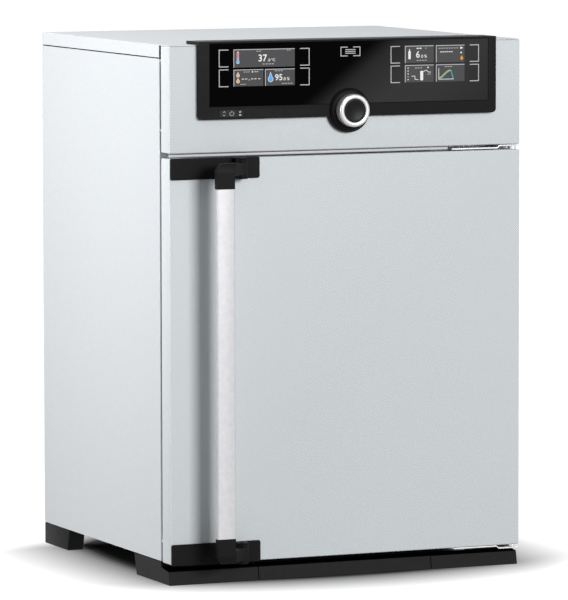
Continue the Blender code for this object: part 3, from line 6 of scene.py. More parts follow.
import bmesh
import bpy
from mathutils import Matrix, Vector

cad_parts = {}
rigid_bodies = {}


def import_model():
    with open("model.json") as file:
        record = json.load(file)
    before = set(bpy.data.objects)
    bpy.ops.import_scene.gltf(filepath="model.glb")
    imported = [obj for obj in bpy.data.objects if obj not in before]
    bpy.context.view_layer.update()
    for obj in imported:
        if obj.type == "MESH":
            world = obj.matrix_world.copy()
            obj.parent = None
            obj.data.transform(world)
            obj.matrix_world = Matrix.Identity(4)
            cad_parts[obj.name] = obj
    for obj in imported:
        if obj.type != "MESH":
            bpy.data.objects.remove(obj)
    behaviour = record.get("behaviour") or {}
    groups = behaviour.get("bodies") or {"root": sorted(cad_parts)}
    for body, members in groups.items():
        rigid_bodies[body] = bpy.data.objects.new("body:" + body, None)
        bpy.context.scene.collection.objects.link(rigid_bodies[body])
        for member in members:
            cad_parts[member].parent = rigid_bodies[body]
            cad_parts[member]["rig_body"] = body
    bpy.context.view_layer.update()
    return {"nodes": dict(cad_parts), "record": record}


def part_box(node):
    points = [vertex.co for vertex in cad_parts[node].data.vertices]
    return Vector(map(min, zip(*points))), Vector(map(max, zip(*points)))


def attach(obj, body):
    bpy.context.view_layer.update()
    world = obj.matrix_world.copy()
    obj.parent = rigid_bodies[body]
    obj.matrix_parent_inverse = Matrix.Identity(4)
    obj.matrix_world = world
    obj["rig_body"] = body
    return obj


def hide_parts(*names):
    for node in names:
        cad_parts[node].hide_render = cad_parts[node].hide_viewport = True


bl_info = {
    "name": "Carbon dioxide incubator looks",
    "version": (1, 0, 0),
    "blender": (4, 5, 0),
    "location": "View3D > Sidebar > Incubator",
    "description": "Builds the case, doors, handle, controls and chamber of a bench incubator",
    "category": "Object",
}

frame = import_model()

# Lengths in metres: sheet thickness, gap between pieces that don't touch, step between flat marks,
# depth of the surface relief, radius of the hole for the dial's spindle, thickness of a bracket's ear
SHEET = 0.0012
GAP = 0.0003
LAYER = 0.00006
RELIEF = 0.0002
SPINDLE_HOLE = 0.0065
EAR = 0.0028
# Steps round a corner and round a full circle
CORNER_STEPS = 6
ROUND_STEPS = 64


# Points and outlines

def xz(point):
    """X and Z of a point."""
    return point[0], point[2]


def spatial(pair, depth, axis):
    """Point from two in-plane values and a depth along an axis."""
    first, second = pair
    return {"X": (depth, first, second), "Y": (first, depth, second), "Z": (first, second, depth)}[axis]


def rectangle(low, high):
    """Corners of an upright rectangle."""
    return [(low[0], low[1]), (high[0], low[1]), (high[0], high[1]), (low[0], high[1])]


def arc(centre, radius, start, end, steps):
    """Points on an arc, from one angle to another in degrees."""
    turns = [math.radians(start + (end - start) * k / steps) for k in range(steps + 1)]
    return [(centre[0] + radius * math.cos(t), centre[1] + radius * math.sin(t)) for t in turns]


def rounded(low, high, radius, steps=CORNER_STEPS):
    """Rectangle with round corners."""
    radius = min(radius, (high[0] - low[0]) * 0.499, (high[1] - low[1]) * 0.499)
    centres = rectangle((low[0] + radius, low[1] + radius), (high[0] - radius, high[1] - radius))
    points = []
    for k, centre in enumerate(centres):
        points += arc(centre, radius, 180 + 90 * k, 270 + 90 * k, steps)
    return points


def circle(centre, radius, steps=ROUND_STEPS):
    """Points round a circle."""
    return arc(centre, radius, 0, 360, steps)[:-1]


def quarter(steps):
    """Angles of a quarter turn in radians, from 0 upwards."""
    return [math.pi / 2 * k / steps for k in range(steps + 1)]


def mirrored(points):
    """Points on the other side of the middle plane, in reverse order."""
    return [(-x, z) for x, z in reversed(points)]


# Mesh shapes

def loft(bm, loops, closed=False):
    """Skin through loops of as many points, capped at both ends unless it closes on itself."""
    rings = [[bm.verts.new(point) for point in loop] for loop in loops]
    count = len(rings[0])
    pairs = list(zip(rings, rings[1:])) + ([(rings[-1], rings[0])] if closed else [])
    for near, far in pairs:
        for k in range(count):
            bm.faces.new((near[k], near[(k + 1) % count], far[(k + 1) % count], far[k]))
    if not closed:
        bm.faces.new(rings[0][::-1])
        bm.faces.new(rings[-1])


def prism(bm, outline, axis, start, end):
    """Outline drawn out along an axis."""
    loft(bm, [[spatial(pair, depth, axis) for pair in outline] for depth in (start, end)])


def block(bm, low, high):
    """Cuboid between two corners."""
    prism(bm, rectangle((low[0], low[1]), (high[0], high[1])), "Z", low[2], high[2])


def turned(bm, centre, axis, profile, steps=ROUND_STEPS, closed=False):
    """Solid of revolution; the profile gives radius and depth."""
    loft(bm, [[spatial(pair, depth, axis) for pair in circle(centre, radius, steps)]
              for radius, depth in profile], closed)


def folded_pan(bm, low, high, wall, edge, corner, steps=4):
    """Sheet pan with round edges, open to the rear; low and high are its outer corners."""
    inner = max(edge - wall, wall / 4)
    levels = [(edge * (1 - math.sin(t)), low[1] + edge * (1 - math.cos(t))) for t in quarter(steps)]
    levels += [(0.0, high[1]), (wall, high[1])]
    levels += [(wall + inner * (1 - math.sin(t)), low[1] + wall + inner * (1 - math.cos(t)))
               for t in reversed(quarter(steps))]
    loops = []
    for inset, depth in levels:
        outline = rounded((low[0] + inset, low[2] + inset), (high[0] - inset, high[2] - inset),
                          max(corner - inset, wall / 4))
        loops.append([spatial(pair, depth, "Y") for pair in outline])
    loft(bm, loops)


# Objects

def link(name, data):
    """Object that shows a mesh, a lamp or a camera."""
    made = bpy.data.objects.new(name, data)
    bpy.context.scene.collection.objects.link(made)
    return made


def shown(bm, name="shape"):
    """Object from a bmesh as it stands."""
    mesh = bpy.data.meshes.new(name)
    bm.to_mesh(mesh)
    bm.free()
    return link(name, mesh)


def solid(bm):
    """Object from a bmesh with its faces turned outwards."""
    bmesh.ops.recalc_face_normals(bm, faces=bm.faces)
    return shown(bm)


def form(build, *details):
    """Object from one call that fills a mesh."""
    bm = bmesh.new()
    build(bm, *details)
    return solid(bm)


def rod(centre, axis, radius, start, end, steps=32):
    """Plain round bar as an object."""
    return form(turned, centre, axis, ((radius, start), (radius, end)), steps)


def applied(made):
    """Object whose modifiers have become its mesh."""
    evaluated = made.evaluated_get(bpy.context.evaluated_depsgraph_get())
    mesh = bpy.data.meshes.new_from_object(evaluated)
    made.modifiers.clear()
    made.data = mesh
    return made


def shaped(base, operation, *tools):
    """Base after exact Booleans with the tools, which are then gone."""
    for tool in tools:
        step = base.modifiers.new("shape", "BOOLEAN")
        step.operation, step.solver, step.object = operation, "EXACT", tool
    applied(base)
    for tool in tools:
        bpy.data.objects.remove(tool)
    return base


def dress(made, name, material, body, slot, stands_for=(), soften=0.0, steps=3, angle=32):
    """Name a shape, give it its finish and soft edges, and let it ride on its body."""
    made.name = made.data.name = name
    mesh = made.data
    if mesh.materials:
        mesh.materials.clear()
    for item in material if isinstance(material, (list, tuple)) else (material,):
        mesh.materials.append(item)
    mesh.shade_smooth()
    if soften:
        bevel = made.modifiers.new("soft_edges", "BEVEL")
        bevel.width, bevel.segments, bevel.limit_method = soften, steps, "ANGLE"
        bevel.angle_limit = math.radians(angle)
        bevel.harden_normals = bevel.use_clamp_overlap = True
    mesh.set_sharp_from_angle(angle=math.radians(angle))
    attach(made, body)
    if stands_for:
        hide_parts(*stands_for)
    return made


def piece(bm, *details, **options):
    """Dressed object straight from a bmesh."""
    return dress(solid(bm), *details, **options)


# Shader groups

COLOUR_IN = ("Color", "Color", (0.5, 0.5, 0.5, 1))


def new_group(name, inputs, outputs):
    """Shader group with named sockets, and the nodes at its two ends."""
    tree = bpy.data.node_groups.new(name, "ShaderNodeTree")
    for title, kind, value in inputs:
        socket = tree.interface.new_socket(title, in_out="INPUT", socket_type="NodeSocket" + kind)
        socket.default_value = value
    for title, kind in outputs:
        tree.interface.new_socket(title, in_out="OUTPUT", socket_type="NodeSocket" + kind)
    return tree, tree.nodes.new("NodeGroupInput").outputs, tree.nodes.new("NodeGroupOutput")


def fill(tree, made, inputs):
    """Put values and incoming links into a node's sockets."""
    for key, value in inputs.items():
        if isinstance(value, bpy.types.NodeSocket):
            tree.links.new(value, made.inputs[key])
        else:
            made.inputs[key].default_value = value
    return made


def add_node(tree, kind, inputs=None, **settings):
    """Shader node with its settings, values and incoming links."""
    made = tree.nodes.new("ShaderNode" + kind)
    for key, value in settings.items():
        setattr(made, key, value)
    return fill(tree, made, inputs or {})


def maths(tree, operation, first, second=0.0, third=0.0):
    """Result of a Math node."""
    return add_node(tree, "Math", {0: first, 1: second, 2: third}, operation=operation).outputs[0]


def ramp(tree, value, start, end, low=0.0, high=1.0, curve="LINEAR"):
    """Value carried over from one span to another and held at both ends."""
    spans = {"Value": value, "From Min": start, "From Max": end, "To Min": low, "To Max": high}
    return add_node(tree, "MapRange", spans, interpolation_type=curve).outputs[0]


def noise(tree, place, scale, detail, **more):
    """Strength of a noise texture."""
    return add_node(tree, "TexNoise", {"Vector": place, "Scale": scale, "Detail": detail, **more}).outputs[0]


def toned(tree, colour, factor):
    """Colour made brighter or darker by a factor."""
    return add_node(tree, "HueSaturation", {"Color": colour, "Value": factor}).outputs[0]


def mixed(tree, factor, first, second):
    """Result of a colour Mix node."""
    return add_node(tree, "Mix", {"Factor": factor, 6: first, 7: second}, data_type="RGBA").outputs[2]


def lead_out(tree, out, **sockets):
    """Link results to the group's outputs."""
    for title, socket in sockets.items():
        tree.links.new(socket, out.inputs[title.replace("_", " ")])


def own_place(tree):
    """Place of a point in the piece's own space, as a vector and as X, Y and Z."""
    place = add_node(tree, "TexCoord").outputs["Object"]
    parts = add_node(tree, "SeparateXYZ", {0: place})
    return place, parts.outputs[0], parts.outputs[1], parts.outputs[2]


def group_cloudiness():
    """Slow change of tone and sheen, as handling and rolling leave on a surface."""
    tree, given, out = new_group("cloudiness", (
        COLOUR_IN, ("Scale", "Float", 6.0), ("Tone", "Float", 0.05),
        ("Roughness", "Float", 0.5), ("Sheen Change", "Float", 0.05)),
        (("Color", "Color"), ("Roughness", "Float")))
    place = own_place(tree)[0]
    soft = noise(tree, place, given["Scale"], 3.0)
    fine = noise(tree, place, maths(tree, "MULTIPLY", given["Scale"], 9.0), 5.0)
    swing = maths(tree, "MULTIPLY_ADD", soft, 1.4, -0.2)
    tone = maths(tree, "MULTIPLY_ADD", swing, given["Tone"], 1.0)
    spread = maths(tree, "MULTIPLY", maths(tree, "SUBTRACT", fine, 0.5), given["Sheen Change"])
    lead_out(tree, out, Color=toned(tree, given["Color"], tone),
             Roughness=maths(tree, "ADD", given["Roughness"], spread))
    return tree


def group_emboss():
    """Crossed diagonal pattern that is rolled into the case sheet."""
    tree, given, out = new_group("rolled_pattern", (
        COLOUR_IN, ("Pitch", "Float", 0.0037), ("Contrast", "Float", 0.05)),
        (("Color", "Color"), ("Height", "Float")))
    _, x, y, z = own_place(tree)
    rate = maths(tree, "DIVIDE", 2 * math.pi, given["Pitch"])
    level = maths(tree, "ADD", x, y)
    slopes = (maths(tree, "ADD", level, z), maths(tree, "SUBTRACT", level, z), level,
              maths(tree, "SUBTRACT", x, y))
    waves = [maths(tree, "SINE", maths(tree, "MULTIPLY", slope, rate)) for slope in slopes]
    upright, flat = (maths(tree, "MULTIPLY", maths(tree, "ADD", *pair), 0.5)
                     for pair in (waves[:2], waves[2:]))
    facing = add_node(tree, "SeparateXYZ", {0: add_node(tree, "NewGeometry").outputs["Normal"]}).outputs[2]
    is_flat = maths(tree, "GREATER_THAN", maths(tree, "ABSOLUTE", facing), 0.6)
    picked = add_node(tree, "Mix", {"Factor": is_flat, 2: upright, 3: flat}).outputs[0]
    tone = maths(tree, "MULTIPLY_ADD", picked, given["Contrast"], 1.0)
    lead_out(tree, out, Color=toned(tree, given["Color"], tone),
             Height=maths(tree, "MULTIPLY_ADD", picked, 0.5, 0.5))
    return tree


def group_brushing():
    """Long fine lines that a brush or a roller leaves along a metal."""
    tree, given, out = new_group("brushing", (
        COLOUR_IN, ("Stretch", "Vector", (40, 40, 4000)),
        ("Tone", "Float", 0.06), ("Roughness", "Float", 0.3), ("Sheen Change", "Float", 0.12)),
        (("Color", "Color"), ("Roughness", "Float"), ("Height", "Float")))
    drawn = add_node(tree, "VectorMath", {0: own_place(tree)[0], 1: given["Stretch"]}, operation="MULTIPLY")
    lines = noise(tree, drawn.outputs[0], 1.0, 4.0, Roughness=0.7)
    centred = maths(tree, "SUBTRACT", lines, 0.5)
    tone = maths(tree, "MULTIPLY_ADD", centred, given["Tone"], 1.0)
    rough = maths(tree, "MULTIPLY_ADD", centred, given["Sheen Change"], given["Roughness"])
    lead_out(tree, out, Color=toned(tree, given["Color"], tone), Roughness=rough, Height=lines)
    return tree


def group_grain():
    """Fine pebble grain of a mould or of cast rubber."""
    tree, given, out = new_group("mould_grain", (("Scale", "Float", 1400.0), ("Softness", "Float", 0.5)),
                                 (("Height", "Float"),))
    place = own_place(tree)[0]
    cells = add_node(tree, "TexVoronoi", {"Vector": place, "Scale": given["Scale"]}, feature="SMOOTH_F1")
    height = add_node(tree, "Mix", {"Factor": given["Softness"], 2: cells.outputs["Distance"],
                                    3: noise(tree, place, given["Scale"], 2.0)}).outputs[0]
    lead_out(tree, out, Height=height)
    return tree


def group_wear():
    """Paler rubbed edges."""
    tree, given, out = new_group("edge_wear", (
        COLOUR_IN, ("Rubbed", "Color", (0.8, 0.8, 0.8, 1)),
        ("Amount", "Float", 0.3)), (("Color", "Color"),))
    mask = ramp(tree, add_node(tree, "NewGeometry").outputs["Pointiness"], 0.51, 0.60)
    broken = maths(tree, "MULTIPLY", mask, noise(tree, own_place(tree)[0], 120.0, 4.0))
    worn = maths(tree, "MULTIPLY", broken, given["Amount"])
    lead_out(tree, out, Color=mixed(tree, worn, given["Color"], given["Rubbed"]))
    return tree


def group_fibres():
    """Matted fibres of mineral wool."""
    tree, given, out = new_group("matted_fibres", (
        ("Color", "Color", (0.7, 0.65, 0.45, 1)), ("Dark", "Color", (0.4, 0.35, 0.2, 1)),
        ("Scale", "Float", 90.0)), (("Color", "Color"), ("Height", "Float")))
    place = own_place(tree)[0]
    wave = add_node(tree, "TexWave", {"Vector": place, "Scale": given["Scale"], "Distortion": 18.0,
                                      "Detail": 4.0, "Detail Scale": 2.0})
    height = maths(tree, "MULTIPLY", noise(tree, place, given["Scale"], 3.0), wave.outputs[1])
    lead_out(tree, out, Color=mixed(tree, height, given["Dark"], given["Color"]), Height=height)
    return tree


def group_painted_reflection():
    """Painted reflection: a soft slanting light band laid into a polished dark pane's colour."""
    tree, given, out = new_group("slanting_haze", (
        ("Color", "Color", (0.002, 0.002, 0.002, 1)), ("Haze", "Color", (0.03, 0.03, 0.032, 1)),
        ("Middle", "Float", 0.0), ("Slope", "Float", 1.2), ("Softness", "Float", 0.02),
        ("Reach", "Float", 0.3)), (("Color", "Color"),))
    _, x, _, z = own_place(tree)
    faint = 0.35
    past = maths(tree, "SUBTRACT", maths(tree, "MULTIPLY_ADD", z, given["Slope"], x), given["Middle"])
    edge = ramp(tree, past, 0.0, given["Softness"], curve="SMOOTHSTEP")
    rise = ramp(tree, past, 0.0, given["Reach"], faint, 1.0)
    start, end = (maths(tree, "MULTIPLY", given["Reach"], share) for share in (1.5, 3.5))
    fall = ramp(tree, past, start, end, 1.0, faint)
    factor = maths(tree, "MULTIPLY", maths(tree, "MULTIPLY", edge, rise), fall)
    lead_out(tree, out, Color=mixed(tree, factor, given["Color"], given["Haze"]))
    return tree


GROUP_MAKERS = {"cloudiness": group_cloudiness, "rolled_pattern": group_emboss,
                "brushing": group_brushing, "mould_grain": group_grain, "edge_wear": group_wear,
                "matted_fibres": group_fibres, "slanting_haze": group_painted_reflection}


def placed_group(tree, name, **inputs):
    """Group node with this material's own values; the group is built at its first use."""
    made = tree.nodes.new("ShaderNodeGroup")
    made.node_tree = bpy.data.node_groups.get(name) or GROUP_MAKERS[name]()
    return fill(tree, made, {key.replace("_", " "): value for key, value in inputs.items()})


def rgba(colour):
    """Colour with full alpha."""
    return (*colour[:3], 1.0)


def surface(name, colour, roughness, metallic=0.0, cloud=(6.0, 0.04, 0.06), pattern=None, brushed=None,
            grain=None, wear=None, haze=None, specular=0.5, extra=None):
    """Principled material whose colour, sheen and relief come from the shared groups."""
    found = bpy.data.materials.get(name)
    if found:
        return found
    made = bpy.data.materials.new(name)
    made.use_nodes = True
    made.diffuse_color = rgba(colour)
    tree = made.node_tree
    shader = tree.nodes["Principled BSDF"]
    fill(tree, shader, {"Metallic": metallic, "Specular IOR Level": specular, **(extra or {})})
    tone = placed_group(tree, "cloudiness", Color=rgba(colour), Scale=cloud[0], Tone=cloud[1],
                        Roughness=roughness, Sheen_Change=cloud[2])
    shade, rough, heights = tone.outputs["Color"], tone.outputs["Roughness"], []
    # Painted reflection: a light band mixed into the base colour.
    if haze:
        shade = placed_group(tree, "slanting_haze", Color=shade, **haze).outputs["Color"]
    if brushed:
        lines = placed_group(tree, "brushing", Color=shade, Roughness=rough, Stretch=brushed[0],
                             Tone=brushed[1], Sheen_Change=brushed[2])
        shade, rough = lines.outputs["Color"], lines.outputs["Roughness"]
        heights.append((lines.outputs["Height"], brushed[3]))
    if pattern:
        relief = placed_group(tree, "rolled_pattern", Color=shade, Pitch=pattern[0], Contrast=pattern[1])
        shade = relief.outputs["Color"]
        heights.append((relief.outputs["Height"], pattern[2]))
    if grain:
        pebbles = placed_group(tree, "mould_grain", Scale=grain[0], Softness=grain[1])
        heights.append((pebbles.outputs["Height"], grain[2]))
    if wear:
        shade = placed_group(tree, "edge_wear", Color=shade, Rubbed=rgba(wear[0]),
                             Amount=wear[1]).outputs["Color"]
    fill(tree, shader, {"Base Color": shade, "Roughness": rough})
    normal = {}
    for height, strength in heights:
        bump = add_node(tree, "Bump", {"Height": height, "Strength": strength, "Distance": RELIEF, **normal})
        normal = {"Normal": bump.outputs["Normal"]}
    fill(tree, shader, normal)
    return made


def case_steel():
    """Rolled-pattern stainless sheet of the outer case."""
    look = bpy.context.scene.incubator_finish
    return surface("case_steel", look.case_colour, look.case_roughness, 0.06, cloud=(3.0, 0.03, 0.05),
                   pattern=(look.pattern_pitch, look.pattern_contrast, 0.25), specular=0.3,
                   wear=((0.95, 0.96, 0.97), 0.5))


def side_steel():
    """Plain matt stainless sheet of the sides and the top."""
    look = bpy.context.scene.incubator_finish
    return surface("side_steel", look.side_colour, look.case_roughness, 0.1, cloud=(2.5, 0.02, 0.05),
                   pattern=(look.pattern_pitch, look.pattern_contrast * 0.3, 0.12), specular=0.3,
                   wear=((0.95, 0.96, 0.97), 0.5))


def bright_steel():
    """Bright chamber steel with fine drawn lines."""
    return surface("bright_steel", (0.66, 0.67, 0.68), 0.42, 0.6, cloud=(5.0, 0.05, 0.08),
                   brushed=((30, 30, 2600), 0.10, 0.12, 0.04))


def hinge_steel():
    """Bright plated steel of the hinge parts."""
    return surface("hinge_steel", (0.74, 0.74, 0.76), 0.22, 0.85, cloud=(30.0, 0.08, 0.08),
                   brushed=((60, 2400, 2400), 0.12, 0.10, 0.05), wear=((0.95, 0.95, 0.95), 0.4))


def rail_metal():
    """Pale satin metal of the rail above the door."""
    return surface("rail_metal", (0.51, 0.51, 0.545), 0.4, 0.1, cloud=(8.0, 0.04, 0.06),
                   brushed=((12, 2600, 2600), 0.04, 0.08, 0.04), wear=((0.95, 0.95, 0.95), 0.3))


def bar_aluminium():
    """Satin anodised aluminium of the handle bar."""
    look = bpy.context.scene.incubator_finish
    return surface("bar_aluminium", look.bar_colour, 0.38, 0.35, cloud=(4.0, 0.02, 0.05),
                   brushed=((2600, 2600, 12), 0.05, 0.08, 0.05), wear=((0.97, 0.97, 0.97), 0.3))


def dial_steel():
    """Turned and polished metal of the dial ring."""
    return surface("dial_steel", (0.60, 0.60, 0.59), 0.3, 0.7, cloud=(40.0, 0.05, 0.08),
                   brushed=((600, 5000, 600), 0.06, 0.06, 0.02), wear=((0.95, 0.95, 0.93), 0.4))


def zinc_sheet():
    """Zinc-plated sheet with its faint spangle."""
    return surface("zinc_sheet", (0.56, 0.58, 0.59), 0.42, 0.6, cloud=(24.0, 0.10, 0.14),
                   brushed=((500, 500, 60), 0.05, 0.06, 0.03))


def black_moulding():
    """Fine-grained black moulding."""
    look = bpy.context.scene.incubator_finish
    return surface("black_moulding", look.plastic_colour, 0.48, cloud=(14.0, 0.12, 0.08), specular=0.08,
                   grain=(1500.0, 0.4, 0.12), wear=((0.06, 0.06, 0.065), 0.2))


def foot_moulding():
    """Coarser black moulding of the feet."""
    look = bpy.context.scene.incubator_finish
    return surface("foot_moulding", look.plastic_colour, 0.55, cloud=(10.0, 0.15, 0.08), specular=0.11,
                   grain=(900.0, 0.4, 0.2), wear=((0.06, 0.06, 0.065), 0.12))


def key_black():
    """Slightly glossier black of the keys."""
    return surface("key_black", (0.006, 0.006, 0.0065), 0.35, cloud=(40.0, 0.15, 0.08), specular=0.11,
                   grain=(2200.0, 0.5, 0.1), wear=((0.08, 0.08, 0.085), 0.4))


def screw_steel():
    """Bright steel of the small screws."""
    return surface("screw_steel", (0.62, 0.62, 0.62), 0.3, 0.9, cloud=(200.0, 0.15, 0.1),
                   wear=((0.85, 0.85, 0.85), 0.5))


def fan_alloy():
    """Cast and turned alloy of the fan wheel."""
    return surface("fan_alloy", (0.66, 0.67, 0.68), 0.35, 0.8, cloud=(60.0, 0.10, 0.12),
                   grain=(900.0, 0.6, 0.2), wear=((0.9, 0.9, 0.9), 0.4))


def unlit_black():
    """Painted shade: flat black without sheen, put on ledges and in seams where shade falls rather than the
    parts' own colour.
    """
    return surface("unlit_black", (0.001, 0.001, 0.001), 0.9, cloud=(10.0, 0.1, 0.05), specular=0.0)


def silicone():
    """Grey silicone of the seals."""
    return surface("silicone", (0.11, 0.11, 0.115), 0.6, cloud=(20.0, 0.15, 0.08), specular=0.3,
                   grain=(700.0, 0.7, 0.2))


def black_pane():
    """Polished black glass with a painted reflection, a slanting light band in its colour."""
    return surface("black_pane", (0.0010, 0.0010, 0.0010), 0.06, cloud=(8.0, 0.2, 0.02), specular=0.02,
                   haze={"Haze": (0.044, 0.044, 0.045, 1), "Middle": -0.979, "Slope": -1.27,
                         "Softness": 0.055, "Reach": 0.13})


def clear_pane():
    """Clear chamber glass, faintly green."""
    return surface("clear_pane", (0.93, 0.98, 0.96), 0.03, cloud=(12.0, 0.01, 0.03),
                   extra={"Transmission Weight": 1.0, "IOR": 1.5})


def wool():
    """Mineral wool of the insulation."""
    found = bpy.data.materials.get("wool")
    if found:
        return found
    made = surface("wool", (0.62, 0.56, 0.36), 0.95, cloud=(12.0, 0.2, 0.04), specular=0.1)
    tree = made.node_tree
    fibres = placed_group(tree, "matted_fibres", Color=(0.66, 0.60, 0.40, 1), Dark=(0.34, 0.29, 0.15, 1))
    bump = add_node(tree, "Bump", {"Height": fibres.outputs["Height"], "Strength": 0.8, "Distance": 0.002})
    fill(tree, tree.nodes["Principled BSDF"], {"Base Color": fibres.outputs["Color"],
                                               "Normal": bump.outputs["Normal"]})
    return made


def board_green():
    """Solder resist of the circuit board."""
    return surface("board_green", (0.02, 0.16, 0.07), 0.35, cloud=(60.0, 0.25, 0.1),
                   grain=(500.0, 0.9, 0.2))


def glowing(name, colour):
    """Lit part of a display, with the faint unevenness of its back light."""
    found = bpy.data.materials.get(name)
    if found:
        return found
    made = surface(name, [v * 0.12 for v in colour], 0.3, cloud=(60.0, 0.06, 0.05), specular=0.05)
    tree = made.node_tree
    lit = placed_group(tree, "cloudiness", Color=rgba(colour), Scale=50.0, Tone=0.10)
    fill(tree, tree.nodes["Principled BSDF"], {"Emission Color": lit.outputs["Color"],
                                               "Emission Strength": 0.9})
    return made


def printed(name, colour):
    """Screen-printed ink on the pane."""
    return surface(name, colour, 0.5, cloud=(300.0, 0.15, 0.1), specular=0.2, grain=(3000.0, 0.8, 0.2))


# Places read from the frame

def low_high(node):
    """Lowest and highest corner of a CAD node as plain lists."""
    low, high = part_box(node)
    return list(low), list(high)


DOOR_LOW, DOOR_HIGH = low_high("door_outer_panel")
FASCIA_LOW, FASCIA_HIGH = low_high("control_fascia")
TOP_LOW, TOP_HIGH = low_high("top_cover")
SIDE_LOW = low_high("side_panel_left")[0]
BEZEL_LOW, BEZEL_HIGH = low_high("control_bezel")
GLASS_LOW, GLASS_HIGH = low_high("control_glass")
SEAT_LOW, SEAT_HIGH = low_high("dial_seat")
RING_LOW, RING_HIGH = low_high("dial_ring")
PANE_LOW, PANE_HIGH = xz(GLASS_LOW), xz(GLASS_HIGH)
PANE_CORNER = 0.001
HALF = TOP_HIGH[0]
FRONT = DOOR_LOW[1]
DIAL_HEIGHT = (SEAT_LOW[2] + SEAT_HIGH[2]) / 2
DIAL = (0.0, DIAL_HEIGHT)
DIAL_HUB = 0.0056


# Case

def make_case(look):
    """Side panels and top cover with round sheet edges, and black strips of painted shade in the seams
    between them.
    """
    edge, inner = look.sheet_edge, look.sheet_edge - SHEET
    for side, sign in (("left", -1), ("right", 1)):
        low, high = low_high(f"side_panel_{side}")
        near, far, lip = low[1], high[1], HALF - (high[0] - low[0])
        out = [(lip, near)] + arc((HALF - edge, near + edge), edge, 270, 360, CORNER_STEPS)
        out += [(HALF, far), (HALF - SHEET, far)]
        out += arc((HALF - SHEET - inner, near + SHEET + inner), inner, 360, 270, CORNER_STEPS)
        out += [(lip, near + SHEET)]
        skin = form(prism, [(sign * x, y) for x, y in out], "Z", low[2], high[2] - look.cover_seam)
        dress(skin, f"side_skin_{side}", side_steel(), "case", "stainless", (f"side_panel_{side}",),
              soften=0.0003, steps=2, angle=40)
        # A black strip in the gap under the top cover stands in for the shade there: painted shade.
        first, last = sorted((sign * (HALF - 0.0006), sign * (HALF - SHEET)))
        seam = form(block, (first, near + edge, high[2] - look.cover_seam + GAP / 2),
                    (last, far - SHEET, high[2]))
        dress(seam, f"cover_seam_{side}", unlit_black(), "case", "seal_rubber")
    low, high = TOP_LOW, TOP_HIGH
    out = arc((HALF - edge, high[2] - edge), edge, 0, 90, CORNER_STEPS)
    under = arc((HALF - SHEET - inner, high[2] - SHEET - inner), inner, 90, 0, CORNER_STEPS)
    out += mirrored(out) + [(-HALF, low[2]), (-HALF + SHEET, low[2])] + mirrored(under)
    out += under + [(HALF - SHEET, low[2]), (HALF, low[2])]
    cover = form(prism, out, "Y", SIDE_LOW[1], high[1])
    sheet = arc((HALF - SHEET / 2, high[2] - SHEET / 2), SHEET / 2, 0, 90, CORNER_STEPS)
    sheet += mirrored(sheet) + [(-HALF, high[2] - SHEET), (HALF, high[2] - SHEET)]
    shaped(cover, "UNION", form(prism, sheet, "Y", low[1], SIDE_LOW[1] + SHEET))
    dress(cover, "top_skin", side_steel(), "case", "stainless", ("top_cover",), soften=0.0004, steps=2,
          angle=40)


def make_fascia(look):
    """Control fascia pan above the door, with the hole for the dial's spindle."""
    body = form(folded_pan, FASCIA_LOW, FASCIA_HIGH, SHEET, look.sheet_edge, look.sheet_corner)
    shaped(body, "DIFFERENCE", rod(DIAL, "Y", SPINDLE_HOLE, FRONT - 0.01, FRONT + 0.01))
    dress(body, "fascia_skin", case_steel(), "case", "stainless", ("control_fascia",))


def dial_notched(low, high, corner, notch, steps=28):
    """Panel outline whose lower edge swells round the dial or makes way for it."""
    drop = low[1] - DIAL_HEIGHT
    side = math.sqrt(notch ** 2 - drop ** 2)
    start, end = math.degrees(math.atan2(drop, -side)), math.degrees(math.atan2(drop, side))
    if drop < 0:
        start, end = start % 360, end % 360
    outline = arc((low[0] + corner, low[1] + corner), corner, 180, 270, CORNER_STEPS)
    outline += arc((0, DIAL_HEIGHT), notch, start, end, steps)
    outline += arc((high[0] - corner, low[1] + corner), corner, 270, 360, CORNER_STEPS)
    return outline


def make_bezel(look):
    """Black bezel with its top lip and its openings."""
    front, back = BEZEL_LOW[1], FRONT - GAP
    lip, top = TOP_HIGH[2] + GAP, BEZEL_HIGH[2] - 0.001
    outline = dial_notched((BEZEL_LOW[0], TOP_HIGH[2] - look.bezel_drop), (BEZEL_HIGH[0], lip),
                           look.bezel_corner, look.bezel_swell)
    body = form(prism, outline + [(BEZEL_HIGH[0], top), (BEZEL_LOW[0], top)], "Y", front, back)
    shaped(body, "UNION", form(block, (BEZEL_LOW[0], front, lip), BEZEL_HIGH))
    groove, before, behind = 0.0006, front - 0.004, back + 0.002
    low, high = [v - groove for v in PANE_LOW], [v + groove for v in PANE_HIGH]
    pocket = dial_notched(low, high, PANE_CORNER, look.pane_notch - groove) + [high, (low[0], high[1])]
    cutters = [form(prism, pocket, "Y", before, GLASS_HIGH[1] + GAP)]
    bm = bmesh.new()
    for node in ("display_left", "display_right"):
        near, far = low_high(node)
        block(bm, (near[0] - GAP, near[1] - 0.002, near[2] - GAP), [v + GAP for v in far])
    cutters.append(solid(bm))
    near, far = low_high("power_key")
    bm = bmesh.new()
    block(bm, (near[0] - GAP, before, near[2] - GAP), (far[0] + GAP, behind, far[2] + GAP))
    turned(bm, DIAL, "Y", ((SPINDLE_HOLE, before), (SPINDLE_HOLE, behind)), 32)
    shaped(body, "DIFFERENCE", *cutters, solid(bm))
    dress(body, "bezel", black_moulding(), "case", "black_plastic", ("control_bezel",), soften=0.0007)


def make_pane(look):
    """Black glass in the bezel."""
    outline = dial_notched(PANE_LOW, PANE_HIGH, PANE_CORNER, look.pane_notch)
    outline += [PANE_HIGH, (PANE_LOW[0], PANE_HIGH[1])]
    pane = form(prism, outline, "Y", GLASS_LOW[1], GLASS_HIGH[1])
    dress(pane, "control_pane", black_pane(), "case", "black_glass", ("control_glass",), soften=0.0003,
          steps=2)


